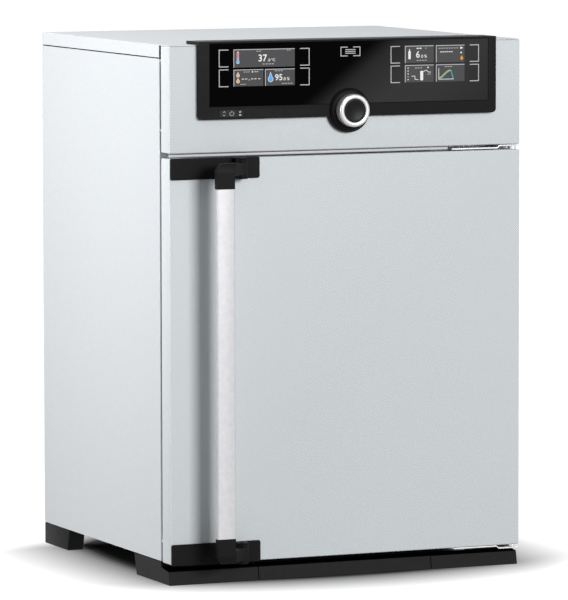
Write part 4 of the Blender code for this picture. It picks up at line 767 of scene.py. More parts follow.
def make_power_key(look):
    """Power key in the bezel's lower edge."""
    low, high = low_high("power_key")
    key = form(prism, rounded(xz(low), xz(high), 0.0006, 3), "Y", low[1], high[1])
    dress(key, "power_key_cap", key_black(), "power", "black_plastic", ("power_key",), soften=0.0003,
          steps=2)


def make_seat(look):
    """Round seat of the dial."""
    radius, rear = look.seat_radius, SEAT_HIGH[1]
    skirt, fall = 0.0014, 0.0042
    profile = [(DIAL_HUB, rear), (radius, rear)]
    profile += [(radius - fall * (1 - math.cos(t)), rear - skirt - fall * math.sin(t)) for t in quarter(10)]
    profile += [(radius - fall - 0.002, SEAT_LOW[1]), (DIAL_HUB, SEAT_LOW[1])]
    seat = form(turned, DIAL, "Y", profile, 96, True)
    dress(seat, "dial_seat_collar", black_moulding(), "case", "black_plastic", ("dial_seat",), angle=40)


def make_ring(look):
    """Metal ring of the dial with its grooves and the web on the spindle."""
    outer, inner = (RING_HIGH[0] - RING_LOW[0]) / 2, look.dial_bore
    face, rear = RING_LOW[1], RING_HIGH[1]
    web_rear, web_front = rear - 0.003, rear - 0.006
    profile = ((DIAL_HUB, web_rear), (DIAL_HUB, web_front), (inner, web_front), (inner, face + 0.0016),
               (inner + 0.0009, face + 0.0005), (inner + 0.0022, face), (outer - 0.0030, face),
               (outer - 0.0016, face + 0.0006), (outer - 0.0006, face + 0.0018),
               (outer - 0.0001, face + 0.0032), (outer, face + 0.0042), (outer, rear - 0.0022),
               (outer - 0.0004, rear - 0.0010), (outer - 0.0008, rear), (outer - 0.003, rear),
               (outer - 0.003, web_rear))
    loops = []
    for radius, level in profile:
        full, cut = (circle(DIAL, value, look.dial_grooves * 4) for value in (radius, radius - 0.0001))
        loop = [cut[k] if radius == outer and k % 4 < 2 else point for k, point in enumerate(full)]
        loops.append([spatial(pair, level, "Y") for pair in loop])
    ring = form(loft, loops, True)
    dress(ring, "dial_grip_ring", dial_steel(), "dial", "bright_metal", ("dial_ring",), angle=28)


def make_confirm_key(look):
    """Dished key in the dial's middle."""
    low, high = low_high("confirm_key")
    radius, face, dish = (high[0] - low[0]) / 2, low[1], 0.0016
    rim = radius - 0.0012
    profile = [(radius, high[1]), (radius, face + 0.0012), (radius - 0.0004, face + 0.0004), (rim, face)]
    profile += [(rim * share, face + dish * (1 - share ** 2)) for share in (1 - k / 8 for k in range(1, 8))]
    key = form(turned, DIAL, "Y", profile + [(0.0004, face + dish)])
    dress(key, "confirm_key_cap", key_black(), "confirm", "black_plastic", ("confirm_key",), angle=50)


# Displays and printed marks

TINTS = {"field": (0.075, 0.075, 0.078), "rule": (0.52, 0.52, 0.53), "white": (0.82, 0.82, 0.82),
         "red": (0.72, 0.06, 0.045), "blue": (0.10, 0.40, 0.82), "orange": (0.85, 0.33, 0.03),
         "yellow": (0.72, 0.56, 0.06), "cyan": (0.06, 0.56, 0.64)}
TINT_ORDER = tuple(TINTS)


def tint(bm, start, name):
    """Give the faces made since start the material of a tint."""
    bm.faces.ensure_lookup_table()
    for face in bm.faces[start:]:
        face.material_index = TINT_ORDER.index(name)


def mark(bm, outline, surface_y, name="rule", layer=1):
    """Thin flat mark, some layers in front of a surface."""
    start = len(bm.faces)
    face = surface_y - layer * LAYER
    prism(bm, outline, "Y", face, face + LAYER * 0.8)
    tint(bm, start, name)


def stroke(points, width):
    """Outline of a line of some width, mitred at its bends."""
    left, right = [], []
    for k, (x, z) in enumerate(points):
        before = Vector(points[k]) - Vector(points[k - 1]) if k else Vector(points[1]) - Vector(points[0])
        after = Vector(points[k + 1]) - Vector(points[k]) if k + 1 < len(points) else before
        first, second = (Vector((-v.y, v.x)).normalized() for v in (before, after))
        across = (first + second).normalized()
        across *= width / 2 / max(across.dot(first), 0.3)
        left.append((x + across.x, z + across.y))
        right.append((x - across.x, z - across.y))
    return left + right[::-1]


def figures(bm, text, left, bottom, height, layer, name, surface_y):
    """Plain figures from Blender's own typeface as thin solids; gives where they end."""
    depth = 0.01
    curve = bpy.data.curves.new("figures", "FONT")
    curve.body, curve.resolution_u, curve.extrude, curve.offset = text, 3, depth, 0.012
    shape = link("figures", curve)
    mesh = bpy.data.meshes.new_from_object(shape.evaluated_get(bpy.context.evaluated_depsgraph_get()))
    bpy.data.objects.remove(shape)
    low, high = ([pick(v.co[k] for v in mesh.vertices) for k in (0, 1)] for pick in (min, max))
    scale = height / (high[1] - low[1])
    face = surface_y - layer * LAYER
    for vertex in mesh.vertices:
        x, y, z = vertex.co
        vertex.co = (left + (x - low[0]) * scale, face - z / depth * LAYER * 0.4,
                     bottom + (y - low[1]) * scale)
    start = len(bm.faces)
    bm.from_mesh(mesh)
    tint(bm, start, name)
    return left + (high[0] - low[0]) * scale


def drop_outline(x, z, radius, height):
    """Water drop with its tip up."""
    return arc((x, z), radius, 130, 410, 20) + [(x, z + height)]


class Tile:
    """One field of a display, with places given as shares of its width and height."""

    def __init__(self, bm, low, high, surface_y):
        self.bm, self.low, self.high, self.face = bm, low, high, surface_y
        mark(bm, rectangle(low, high), surface_y, "field")
        self.draw(stroke([low, (low[0], high[1]), high], 0.0010), "rule")

    def at(self, u, v):
        """Point at two shares of the tile."""
        return tuple(low + (high - low) * share for low, high, share in zip(self.low, self.high, (u, v)))

    def draw(self, outline, name, layer=2):
        """Mark in the tile."""
        mark(self.bm, outline, self.face, name, layer)

    def line(self, shares, name, width=0.0009, layer=2):
        """Line through shares of the tile."""
        self.draw(stroke([self.at(u, v) for u, v in shares], width), name, layer)

    def bars(self, start, end, level, count, height=0.0009, name="rule"):
        """Row of short plain bars, where small print stands on the real display."""
        step = (end - start) / count
        for k in range(count):
            self.line([(start + k * step, level), (start + (k + 0.72) * step, level)], name, height)

    def number(self, text, u, v, height, name="white"):
        """Figures from a place in the tile; gives the share where they end."""
        left, bottom = self.at(u, v)
        end = figures(self.bm, text, left, bottom, height, 2, name, self.face)
        return (end - self.low[0]) / (self.high[0] - self.low[0])


def draw_left_display(bm, low, high, face, look):
    """Temperature above; level and humidity below."""
    split, column = look.display_gap, (low[0] + high[0]) / 2
    middle = (low[1] + high[1]) / 2 - 0.001
    top = Tile(bm, (low[0], middle + split / 2), high, face)
    x, z = top.at(0.066, 0.30)
    stem = 0.0011
    top.draw(circle((x, z), 0.0025, 20), "white")
    top.draw(rounded((x - stem * 1.5, z), (x + stem * 1.5, z + 0.0155), stem), "white", 3)
    top.draw(circle((x, z), 0.0019, 20), "blue", 4)
    top.draw(rectangle((x - stem, z), (x + stem, z + 0.006)), "blue", 5)
    top.draw(rectangle((x - stem, z + 0.006), (x + stem, z + 0.0145)), "red", 4)
    end = top.number("37", 0.404, 0.31, 0.0104)
    top.number(".0 °C", end + 0.012, 0.31, 0.0044)
    top.bars(0.37, 0.46, 0.90, 2)
    top.bars(0.87, 0.94, 0.93, 2)
    top.bars(0.47, 0.67, 0.17, 4)
    level = Tile(bm, low, (column - 0.0015, middle - split / 2), face)
    for v in (0.30, 0.66):
        x, z = level.at(0.14, v)
        level.draw(drop_outline(x, z, 0.0026, 0.0052), "white")
        level.draw(drop_outline(x, z, 0.0019, 0.0040), "orange", 3)
    for start in (0.27, 0.38, 0.58, 0.69, 0.82):
        level.line([(start, 0.44), (start + 0.075, 0.44)], "white", 0.0010)
    level.line([(0.50, 0.36), (0.53, 0.40)], "white", 0.0010)
    level.bars(0.33, 0.56, 0.87, 3)
    level.draw(circle(level.at(0.63, 0.87), 0.0011, 12), "white")
    level.bars(0.70, 0.84, 0.87, 2, name="white")
    level.bars(0.22, 0.42, 0.12, 3)
    damp = Tile(bm, (column + 0.0015, low[1]), (high[0], middle - split / 2), face)
    x, z = damp.at(0.18, 0.40)
    damp.draw(drop_outline(x, z, 0.0043, 0.0108), "white")
    damp.draw(drop_outline(x, z, 0.0036, 0.0094), "blue", 3)
    end = damp.number("95", 0.33, 0.31, 0.0093)
    damp.number(".0 %", end + 0.02, 0.31, 0.0046)
    damp.bars(0.32, 0.62, 0.90, 3)
    damp.bars(0.56, 0.95, 0.12, 4)


def draw_right_display(bm, low, high, face, look):
    """Gas share, notes, air flow and the recorded curves."""
    split, column = look.display_gap, (low[0] + high[0]) / 2
    middle = (low[1] + high[1]) / 2
    half = split / 2
    gas = Tile(bm, (low[0], middle + half), (column - half * 1.2, high[1]), face)
    x, z = gas.at(0.15, 0.22)
    gas.draw(rounded((x - 0.0019, z), (x + 0.0019, z + 0.0125), 0.0016), "white")
    gas.draw(rectangle((x - 0.0007, z + 0.0125), (x + 0.0007, z + 0.0150)), "white")
    end = gas.number("6", 0.38, 0.30, 0.0100)
    gas.number(".0 %", end + 0.03, 0.30, 0.0045)
    gas.bars(0.40, 0.60, 0.86, 2, 0.0016, "white")
    gas.bars(0.70, 0.76, 0.86, 1)
    gas.bars(0.40, 0.78, 0.15, 4)
    notes = Tile(bm, (column + half * 1.2, middle + half), high, face)
    notes.bars(0.08, 0.80, 0.84, 8)
    notes.bars(0.14, 0.60, 0.62, 6, 0.0012, "white")
    notes.draw([notes.at(0.85, 0.92), notes.at(0.85, 0.76), notes.at(0.95, 0.84)], "white")
    notes.draw(circle(notes.at(0.88, 0.56), 0.0013, 14), "white")
    notes.draw(drop_outline(*notes.at(0.90, 0.22), 0.0022, 0.0042), "orange")
    air = Tile(bm, low, (column - half * 1.2, middle - half), face)
    for k in range(5):
        air.draw(circle(air.at(0.10, 0.16 + 0.17 * k), 0.0009, 10), "orange" if k == 1 else "white")
    air.bars(0.34, 0.62, 0.84, 3)
    air.draw(circle(air.at(0.80, 0.86), 0.0012, 12), "white")
    air.draw(rounded(air.at(0.53, 0.10), air.at(0.63, 0.66), 0.001), "white")
    air.line([(0.63, 0.62), (0.74, 0.70), (0.82, 0.58), (0.90, 0.58)], "white", 0.0008)
    air.line([(0.22, 0.36), (0.34, 0.36), (0.34, 0.18), (0.46, 0.14)], "white", 0.0008)
    air.bars(0.78, 0.92, 0.46, 2)
    chart = Tile(bm, (column + half * 1.2, low[1]), (high[0], middle - half), face)
    chart.line([(0.09, 0.80), (0.09, 0.14), (0.62, 0.14)], "white", 0.0008)
    chart.bars(0.30, 0.58, 0.88, 3)
    rise = [(0.10 + 0.40 * k / 8, 0.22 + 0.46 * math.sin(t) ** 1.5) for k, t in enumerate(quarter(8))]
    chart.line(rise, "yellow", 0.0010, 4)
    late = [(u + 0.03, v - 0.04) for u, v in rise]
    chart.line(late + [(0.56, 0.40), (0.60, 0.16)], "cyan", 0.0010, 3)


def make_displays(look):
    """Lit images of the two displays."""
    glow = [glowing(f"glow_{name}", TINTS[name]) for name in TINT_ORDER]
    for side, draw in (("left", draw_left_display), ("right", draw_right_display)):
        low, high = low_high(f"display_{side}")
        bm = bmesh.new()
        draw(bm, xz(low), xz(high), GLASS_LOW[1], look)
        piece(bm, f"display_image_{side}", glow, "case", "display", angle=60)


def printed_piece(bm, name, body):
    """Dressed object from printed marks."""
    piece(bm, name, [printed(f"ink_{tone}", TINTS[tone]) for tone in TINT_ORDER], body, "display", angle=60)


def make_touch_marks(look):
    """Brackets beside the displays, and the frame with its bars above the dial."""
    face, width = GLASS_LOW[1], look.touch_line
    brackets = []
    for node in ("display_left", "display_right"):
        low, high = low_high(node)
        middle = (low[2] + high[2]) / 2
        for sign, edge in ((-1, low[0]), (1, high[0])):
            tips = edge + sign * look.touch_margin
            spans = ((low[2], middle - 0.0022), (middle + 0.0022, high[2]))
            brackets += [(tips, tips + sign * look.touch_reach, *span) for span in spans]
    brackets += [(edge + sign * 0.011, edge, 0.7760, 0.7890) for sign, edge in ((1, -0.0133), (-1, 0.0175))]
    bm = bmesh.new()
    for tips, back, start, end in brackets:
        mark(bm, stroke([(tips, start), (back, start), (back, end), (tips, end)], width), face)
    for level in (0.7798, 0.7825, 0.7852):
        mark(bm, rectangle((-0.0062, level - 0.0006), (0.0104, level + 0.0006)), face)
    printed_piece(bm, "touch_marks", "case")


def make_power_marks(look):
    """Three small marks on the power key: two tips, a ring with a bar, a dot over a bar."""
    low, high = low_high("power_key")
    face, level = low[1], (low[2] + high[2]) / 2
    tips, ring, dot = (low[0] + (high[0] - low[0]) * share for share in (0.19, 0.51, 0.86))
    bm = bmesh.new()
    for sign in (-1, 1):
        tip = level + sign * 0.0034
        foot = tip - sign * 0.0021
        mark(bm, stroke([(tips - 0.0019, foot), (tips, tip), (tips + 0.0019, foot)], 0.0006), face)
    mark(bm, stroke(arc((ring, level), 0.0033, 130, 410, 20), 0.0007), face)
    mark(bm, rectangle((ring - 0.00035, level + 0.0008), (ring + 0.00035, level + 0.0044)), face)
    mark(bm, circle((dot, level + 0.0022), 0.0014, 16), face)
    mark(bm, rectangle((dot - 0.0017, level - 0.0032), (dot + 0.0017, level - 0.0012)), face)
    printed_piece(bm, "power_key_marks", "power")


# Door, handle and hinges

def make_door(look):
    """Outer door pan with the bore for its hinge pins."""
    body = form(folded_pan, DOOR_LOW, DOOR_HIGH, SHEET, look.sheet_edge, look.sheet_corner)
    low, high = low_high("hinge_pin_upper")
    centre = ((low[0] + high[0]) / 2, (low[1] + high[1]) / 2)
    shaped(body, "DIFFERENCE", rod(centre, "Z", 0.0046, DOOR_LOW[2] - 0.005, DOOR_HIGH[2] + 0.005))
    dress(body, "door_skin", case_steel(), "door", "stainless", ("door_outer_panel",))


def make_handle(look):
    """Handle bar, its two arms and their bracket plates on the door."""
    low, high = low_high("handle_bar")
    grip = form(prism, rounded(low[:2], high[:2], 0.0016, 4), "Z", low[2], high[2])
    dress(grip, "handle_grip", bar_aluminium(), "handle", "bright_metal", ("handle_bar",), angle=40)
    for name, sign in (("lower", -1), ("upper", 1)):
        plate = low_high(f"handle_bracket_{name}")
        arm = low_high(f"handle_arm_{name}")
        hub = (arm[1][0] - look.hub_radius, plate[0][1] + look.hub_radius)
        make_bracket(name, hub, plate, look)
        make_arm(name, sign, hub, plate, (low, high), arm[0][2] if sign > 0 else arm[1][2], look)


def make_bracket(name, hub, plate, look):
    """Plate on the door with two ears that hold a hub."""
    low, high = plate
    face, reach = FRONT - 0.0033, look.hub_radius
    body = form(prism, rounded(xz(low), xz(high), 0.003), "Y", face, high[1])
    outline = [(hub[0] + reach, face + 0.0015), (hub[0] - reach, face + 0.0015)]
    outline += arc(hub, reach, 180, 360, 20)
    for start in (low[2], high[2] - EAR):
        shaped(body, "UNION", form(prism, outline, "Z", start, start + EAR))
    shaped(body, "DIFFERENCE", rod(hub, "Z", 0.0038, low[2] - 0.001, high[2] + 0.001))
    dress(body, f"bracket_plate_{name}", black_moulding(), "door", "black_plastic",
          (f"handle_bracket_{name}",), soften=0.0006)


def make_arm(name, sign, hub, plate, bar, end, look):
    """Moulded arm: bar cap that slants back, a neck and the hub on its trunnion."""
    low, high = plate[0][2], plate[1][2]
    middle, half = (bar[0][0] + bar[1][0]) / 2, (bar[1][0] - bar[0][0]) / 2
    front, rear, reach = bar[0][1], bar[1][1], look.hub_radius
    body = rod(hub, "Z", reach, low + EAR + GAP, high - EAR - GAP, 48)
    shaped(body, "UNION", rod(hub, "Z", 0.0035, low + SHEET, high - SHEET))
    level = (low + high) / 2
    far, near, slim = level + sign * 0.010, level - sign * 0.0034, half * 0.82
    sections = ((half, 0.0, front, rear, end), (half, 0.0, front, rear, near),
                (half - 0.0004, 0.0004, front, rear + 0.004, near + sign * 0.002),
                (slim, look.arm_lean, front + 0.0056, rear + 0.004, far))
    loops = []
    for width, lean, start, stop, z in sections:
        corners = rectangle((middle - width + lean, start), (middle + width + lean, stop))
        loops.append([spatial(pair, z, "Z") for pair in corners])
    shaped(body, "UNION", form(loft, loops))
    neck = [(middle - slim + look.arm_lean, rear - 0.0034), (middle + slim + look.arm_lean, rear - 0.0034),
            (hub[0] + reach * 0.72, hub[1] - reach * 0.62), (hub[0] - reach * 0.35, hub[1] + reach * 0.75)]
    bottom, top = sorted((level - sign * 0.0088, far - sign * 0.0012))
    shaped(body, "UNION", form(prism, neck, "Z", bottom, top))
    dress(body, f"handle_arm_moulding_{name}", black_moulding(), "handle", "black_plastic",
          (f"handle_arm_{name}",), soften=0.0008, angle=28)


def make_hinges(look):
    """Joggled hinge strips at the door's right side."""
    thick = 0.0025
    for name, step in (("upper", look.upper_joggle), ("lower", look.lower_joggle)):
        low, high = low_high(f"hinge_strip_{name}")
        start, rise = HALF - step, high[2] - low[2] - thick
        first, second = (low[2], low[2] + rise) if name == "upper" else (low[2] + rise, low[2])
        path = [(low[0], first), (start, first), (start + rise * 1.2, second), (high[0], second)]
        strip = form(prism, path + [(x, z + thick) for x, z in reversed(path)], "Y", low[1], high[1])
        dress(strip, f"hinge_strip_plate_{name}", hinge_steel(), "case", "bright_metal",
              (f"hinge_strip_{name}",), soften=0.0006, angle=20)


# Feet, seams and copies of CAD nodes

def make_feet(look):
    """Four moulded feet and the plinth bar between the front pair; their upper faces carry painted shade,
    flat black where shade falls.
    """
    for node in ("foot_front_left", "foot_front_right", "foot_rear_left", "foot_rear_right", "plinth_bar"):
        made = refined(node, f"{node}_moulding", (foot_moulding(), unlit_black()), soften=0.0011)
        # Faces that look up take the painted shade black instead of the moulding.
        for face in made.data.polygons:
            face.material_index = int(face.normal.z > 0.9)


def make_seams(look):
    """Rail in the gap above the door and the small tabs in the gap behind the front."""
    strip_low = low_high("hinge_strip_upper")[0]
    middle, half = (strip_low[2] + FASCIA_LOW[2] - GAP * 2) / 2, look.rail_height / 2
    front, edge = FRONT + 0.0032, 0.0008
    back = front + 0.006
    profile = [(front + edge, middle - half), (back, middle - half), (back, middle + half),
               (front + edge, middle + half), (front, middle + half - edge), (front, middle - half + edge)]
    rail = form(prism, profile, "X", -HALF + look.sheet_corner, strip_low[0] - look.rail_space)
    dress(rail, "fascia_rail", rail_metal(), "case", "bright_metal", soften=0.0004)
    for number, height in enumerate((0.773, 0.670, 0.063)):
        outline = rounded((-HALF + 0.0010, height - 0.0013), (-HALF + 0.0120, height + 0.0013), 0.0005, 3)
        tab = form(prism, outline, "Y", DOOR_HIGH[1] + GAP, SIDE_LOW[1] - GAP)
        dress(tab, f"seam_tab_{number + 1}", hinge_steel(), "case", "bright_metal", soften=0.0002, steps=2)


def refined(node, name, material, soften=0.0008, steps=3, angle=30):
    """Copy of a CAD node as one clean skin, with soft edges if asked, which then stands for it."""
    source = frame["nodes"][node]
    bm = bmesh.new()
    bm.from_mesh(source.data)
    bmesh.ops.remove_doubles(bm, verts=bm.verts, dist=0.00002)
    if soften:
        bmesh.ops.dissolve_limit(bm, angle_limit=math.radians(1), verts=bm.verts, edges=bm.edges)
    slots = {item["node"]: item["material_slot"] for item in frame["record"]["subparts"]}
    return piece(bm, name, material, source["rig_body"], slots[node], (node,), soften=soften,
                 steps=steps, angle=angle)


# Chamber, glass door and what stands behind

def soft_copies(looks):
    """Softened copies of CAD nodes; each row gives a finish, an edge radius and its nodes."""
    for finish, soften, nodes in looks:
        for node in nodes:
            refined(node, f"{node}_skin", finish(), soften=soften)


def flat_face(bm, points, level):
    """Face through points at one height."""
    bm.faces.new([bm.verts.new((x, y, level)) for x, y in points])


def holed_square(bm, centre, half, radius, level):
    """Eight faces between a rectangle and the round hole in its middle."""
    square = ((-1, -1), (0, -1), (1, -1), (1, 0), (1, 1), (0, 1), (-1, 1), (-1, 0))
    x, y = centre
    outer = [bm.verts.new((x + u * half[0], y + v * half[1], level)) for u, v in square]
    inner = [bm.verts.new((*pair, level)) for pair in arc(centre, radius, 225, 540, 7)]
    for k in range(8):
        after = (k + 1) % 8
        bm.faces.new((outer[k], outer[after], inner[after], inner[k]))


def perforated_sheet(bm, low, high, level, columns, rows, radius):
    """Flat sheet with rows of round holes and a plain margin, one face thick."""
    margin = 0.012
    inner_low, inner_high = [v + margin for v in low[:2]], [v - margin for v in high[:2]]
    half = [(inner_high[k] - inner_low[k]) / count / 2 for k, count in enumerate((columns, rows))]
    for row in range(rows):
        for column in range(columns):
            centre = [inner_low[k] + (2 * place + 1) * half[k] for k, place in enumerate((column, row))]
            holed_square(bm, centre, half, radius, level)
    xs = [inner_low[0] + half[0] * k for k in range(2 * columns + 1)]
    ys = [inner_low[1] + half[1] * k for k in range(2 * rows + 1)]
    sides, ends = (((inner_low[k], low[k]), (inner_high[k], high[k])) for k in (0, 1))
    for edge, far in ends:
        for first, second in zip(xs, xs[1:]):
            flat_face(bm, ((first, edge), (second, edge), (second, far), (first, far)), level)
    for edge, far in sides:
        for first, second in zip(ys, ys[1:]):
            flat_face(bm, ((edge, first), (edge, second), (far, second), (far, first)), level)
    for x, far_x in sides:
        for y, far_y in ends:
            flat_face(bm, ((x, y), (far_x, y), (far_x, far_y), (x, far_y)), level)
    bmesh.ops.remove_doubles(bm, verts=bm.verts, dist=0.00002)


def on_rim(edge, low, high):
    """Whether an edge lies on the outer border of a sheet."""
    return edge.is_boundary and all(
        min(abs(v.co[k] - limit[k]) for k in (0, 1) for limit in (low, high)) < 1e-5 for v in edge.verts)


def make_shelves(look):
    """Two perforated shelves with a folded rim."""
    for name in ("lower", "upper"):
        low, high = low_high(f"shelf_{name}")
        bm = bmesh.new()
        perforated_sheet(bm, low, high, high[2], look.shelf_columns, look.shelf_rows, look.shelf_hole)
        rim = [edge for edge in bm.edges if on_rim(edge, low, high)]
        for item in bmesh.ops.extrude_edge_only(bm, edges=rim)["geom"]:
            if isinstance(item, bmesh.types.BMVert):
                item.co.z = low[2]
        bmesh.ops.recalc_face_normals(bm, faces=bm.faces)
        if sum(face.normal.z for face in bm.faces) < 0:
            bmesh.ops.reverse_faces(bm, faces=bm.faces)
        shelf = shown(bm, "shelf")
        wall = shelf.modifiers.new("wall", "SOLIDIFY")
        wall.thickness, wall.offset, wall.use_even_offset = SHEET * 0.8, -1, True
        dress(applied(shelf), f"shelf_sheet_{name}", bright_steel(), "case", "bright_metal",
              (f"shelf_{name}",), angle=35)


def cross_screw(bm, centre, axis, face, sign, radius):
    """Pan head with a cross on it; the sign says to which side of the face it stands out."""
    rim = radius * 0.18
    profile = [(radius, face - sign * 0.0004), (radius, face + sign * rim)]
    profile += [(radius * math.cos(t), face + sign * (rim + radius * 0.42 * math.sin(t)))
                for t in quarter(6)[1:-1]]
    turned(bm, centre, axis, profile + [(radius * 0.12, face + sign * radius * 0.6)], 20)
    arm, width = radius * 0.55, radius * 0.13
    for first, second in ((arm, width), (width, arm)):
        outline = rectangle((centre[0] - first, centre[1] - second), (centre[0] + first, centre[1] + second))
        prism(bm, outline, axis, face + sign * radius * 0.45, face + sign * radius * 0.63)


def make_screws(look):
    """Screws round the rear panel and in the corners of the chamber's fan cover."""
    low, high = low_high("rear_panel")
    inset = look.screw_inset
    columns = [low[0] + inset + (high[0] - low[0] - 2 * inset) * k / 3 for k in range(4)]
    rows = [low[2] + inset + (high[2] - low[2] - 2 * inset) * k / 4 for k in range(5)]
    places = [(x, z) for x in columns for z in (rows[0], rows[-1])]
    places += [(x, z) for x in (columns[0], columns[-1]) for z in rows[1:-1]]
    bm = bmesh.new()
    for place in places:
        cross_screw(bm, place, "Y", high[1], 1, look.screw_radius)
    piece(bm, "rear_panel_screws", screw_steel(), "case", "bright_metal", angle=40)
    low, high = low_high("fan_cover")
    bm = bmesh.new()
    for x in (low[0] + 0.010, high[0] - 0.010):
        for z in (low[2] + 0.010, high[2] - 0.010):
            cross_screw(bm, (x, z), "Y", low[1], -1, 0.0042)
    piece(bm, "fan_cover_screws", screw_steel(), "case", "bright_metal", angle=40)


def make_inside(look):
    """Chamber, doors' inner sides, seals and all that stands behind."""
    soft_copies((
        (bright_steel, 0.0008, ("door_inner_panel", "fan_cover", "glass_hinge_clip_upper",
                                "glass_hinge_clip_lower", "gas_sensor", "temperature_probe",
                                "steam_generator")),
        (bright_steel, 0.0, ("chamber_liner", "front_frame", "glass_latch")),
        (fan_alloy, 0.0002, ("fan_wheel",)),
        (hinge_steel, 0.0004, ("hinge_pin_upper", "hinge_pin_lower", "glass_hinge_pin_upper",
                               "glass_hinge_pin_lower")),
        (silicone, 0.0006, ("door_gasket", "glass_gasket")),
        (zinc_sheet, 0.0004, ("rear_panel", "floor_pan")),
        (zinc_sheet, 0.0005, ("fan_motor", "gas_valve", "power_supply", "dial_encoder")),
        (black_moulding, 0.0005, ("mains_inlet",)),
        (board_green, 0.0002, ("control_board",)),
        (clear_pane, 0.0006, ("glass_pane",))))


def make_frame_corners(look):
    """Round corners of the front frame's opening, between the frame and the liner's flange."""
    low, high = low_high("glass_gasket")
    start = low_high("glass_pane")[1][1] + 0.0008
    end = low_high("chamber_liner")[0][1] - GAP
    corners = rectangle([v - look.frame_rebate for v in xz(low)], [v + look.frame_rebate for v in xz(high)])
    radius = look.frame_corner
    bm = bmesh.new()
    for k, (x, z) in enumerate(corners):
        centre = (x - math.copysign(radius, x), z + (1 if k < 2 else -1) * radius)
        outline = arc(centre, radius + 0.0005, 180 + 90 * k, 270 + 90 * k, 12) + [(x, z)]
        prism(bm, outline, "Y", start, end)
    piece(bm, "front_frame_corners", bright_steel(), "case", "stainless", angle=40)


def make_inlet_contacts(look):
    """Three blades of the mains inlet with their tapered tips."""
    low, high = low_high("mains_inlet")
    middle, level = (low[0] + high[0]) / 2, (low[2] + high[2]) / 2
    full, tip = (0.001, 0.002), (0.0006, 0.0014)
    sections = ((full, high[1] - 0.0145), (full, high[1] - 0.0052), (tip, high[1] - 0.004))
    bm = bmesh.new()
    for dx, dz in ((-0.007, -0.002), (0.007, -0.002), (0.0, 0.002)):
        x, z = middle + dx, level + dz
        loft(bm, [[spatial(pair, depth, "Y") for pair in rectangle((x - w, z - h), (x + w, z + h))]
                  for (w, h), depth in sections])
    piece(bm, "mains_inlet_blades", hinge_steel(), "case", "bright_metal", soften=0.0002, steps=2)


# Finishes of the CAD nodes that stay

def finish_frame():
    """Give every CAD node that stays in sight its procedural material."""
    looks = {"stainless": case_steel, "bright_metal": bright_steel, "zinc_plate": zinc_sheet,
             "black_plastic": black_moulding, "seal_rubber": silicone, "insulation": wool,
             "clear_glass": clear_pane, "black_glass": black_pane, "display": black_pane,
             "circuit_board": board_green}
    for item in frame["record"]["subparts"]:
        node = frame["nodes"][item["node"]]
        node.data.materials.clear()
        node.data.materials.append(looks[item["material_slot"]]())


# Stage

def set_world(look):
    """Even light that is white to the camera and in reflections."""
    world = bpy.data.worlds.new("studio")
    bpy.context.scene.world = world
    world.use_nodes = True
    tree = world.node_tree
    tree.nodes.clear()
    rays = add_node(tree, "LightPath")
    seen = maths(tree, "MAXIMUM", rays.outputs["Is Camera Ray"],
                 maths(tree, "MAXIMUM", rays.outputs["Is Glossy Ray"], rays.outputs["Is Transmission Ray"]))
    light = add_node(tree, "Background", {"Color": (1, 1, 1, 1), "Strength": look.world_light})
    white = add_node(tree, "Background", {"Color": (1, 1, 1, 1), "Strength": 1.0})
    both = add_node(tree, "MixShader", {0: seen, 1: light.outputs[0], 2: white.outputs[0]})
    add_node(tree, "OutputWorld", {"Surface": both.outputs[0]})


def curved(tree, value, amount):
    """Square of a value times an amount, which rounds the edge of the painted shadow on the floor."""
    return maths(tree, "MULTIPLY", maths(tree, "MULTIPLY", value, value), amount)


def rounded_distance(tree, first, second):
    """Distance past two edges, round at their corner and negative within both."""
    squares = maths(tree, "ADD", *(curved(tree, maths(tree, "MAXIMUM", value, 0.0), 1.0)
                                   for value in (first, second)))
    inner = maths(tree, "MINIMUM", maths(tree, "MAXIMUM", first, second), 0.0)
    return maths(tree, "ADD", maths(tree, "SQRT", squares), inner)


def painted_floor_shadow(tree, x, y, look):
    """Painted shadow on the floor: a dark tone in the case's footprint and a glow outside it; the painted
    shadow between has rounded edges.
    """
    depth, front_slope, side_round, front_round = 0.264, 1.12, 0.32, 0.89
    wide = maths(tree, "ABSOLUTE", x)
    # The painted shadow reaches past the back of the case, furthest in the middle.
    behind, back_slope = (ramp(tree, wide, HALF - 0.03, HALF - 0.144, *ends)
                          for ends in ((0.0, 0.12), (1.83, 0.6)))
    side = maths(tree, "ADD", maths(tree, "SUBTRACT", wide, HALF), curved(tree, y, side_round))
    front = maths(tree, "MULTIPLY", maths(tree, "SUBTRACT", -depth, y), front_slope)
    back = maths(tree, "SUBTRACT", maths(tree, "SUBTRACT", y, depth), behind)
    back = maths(tree, "MULTIPLY", back, back_slope)
    outside = maths(tree, "ADD", maths(tree, "MAXIMUM", front, back), curved(tree, x, front_round))
    within = maths(tree, "MAXIMUM", side, maths(tree, "SUBTRACT", maths(tree, "ABSOLUTE", y), depth))
    # Painted shadow: the floor's tone falls to near black inside the footprint.
    tone = ramp(tree, within, -0.045, 0.0, 0.01, look.floor_seen, "SMOOTHSTEP")
    past = rounded_distance(tree, side, outside)
    return tone, ramp(tree, past, -0.027, look.floor_clear, 0.0, look.floor_lift)


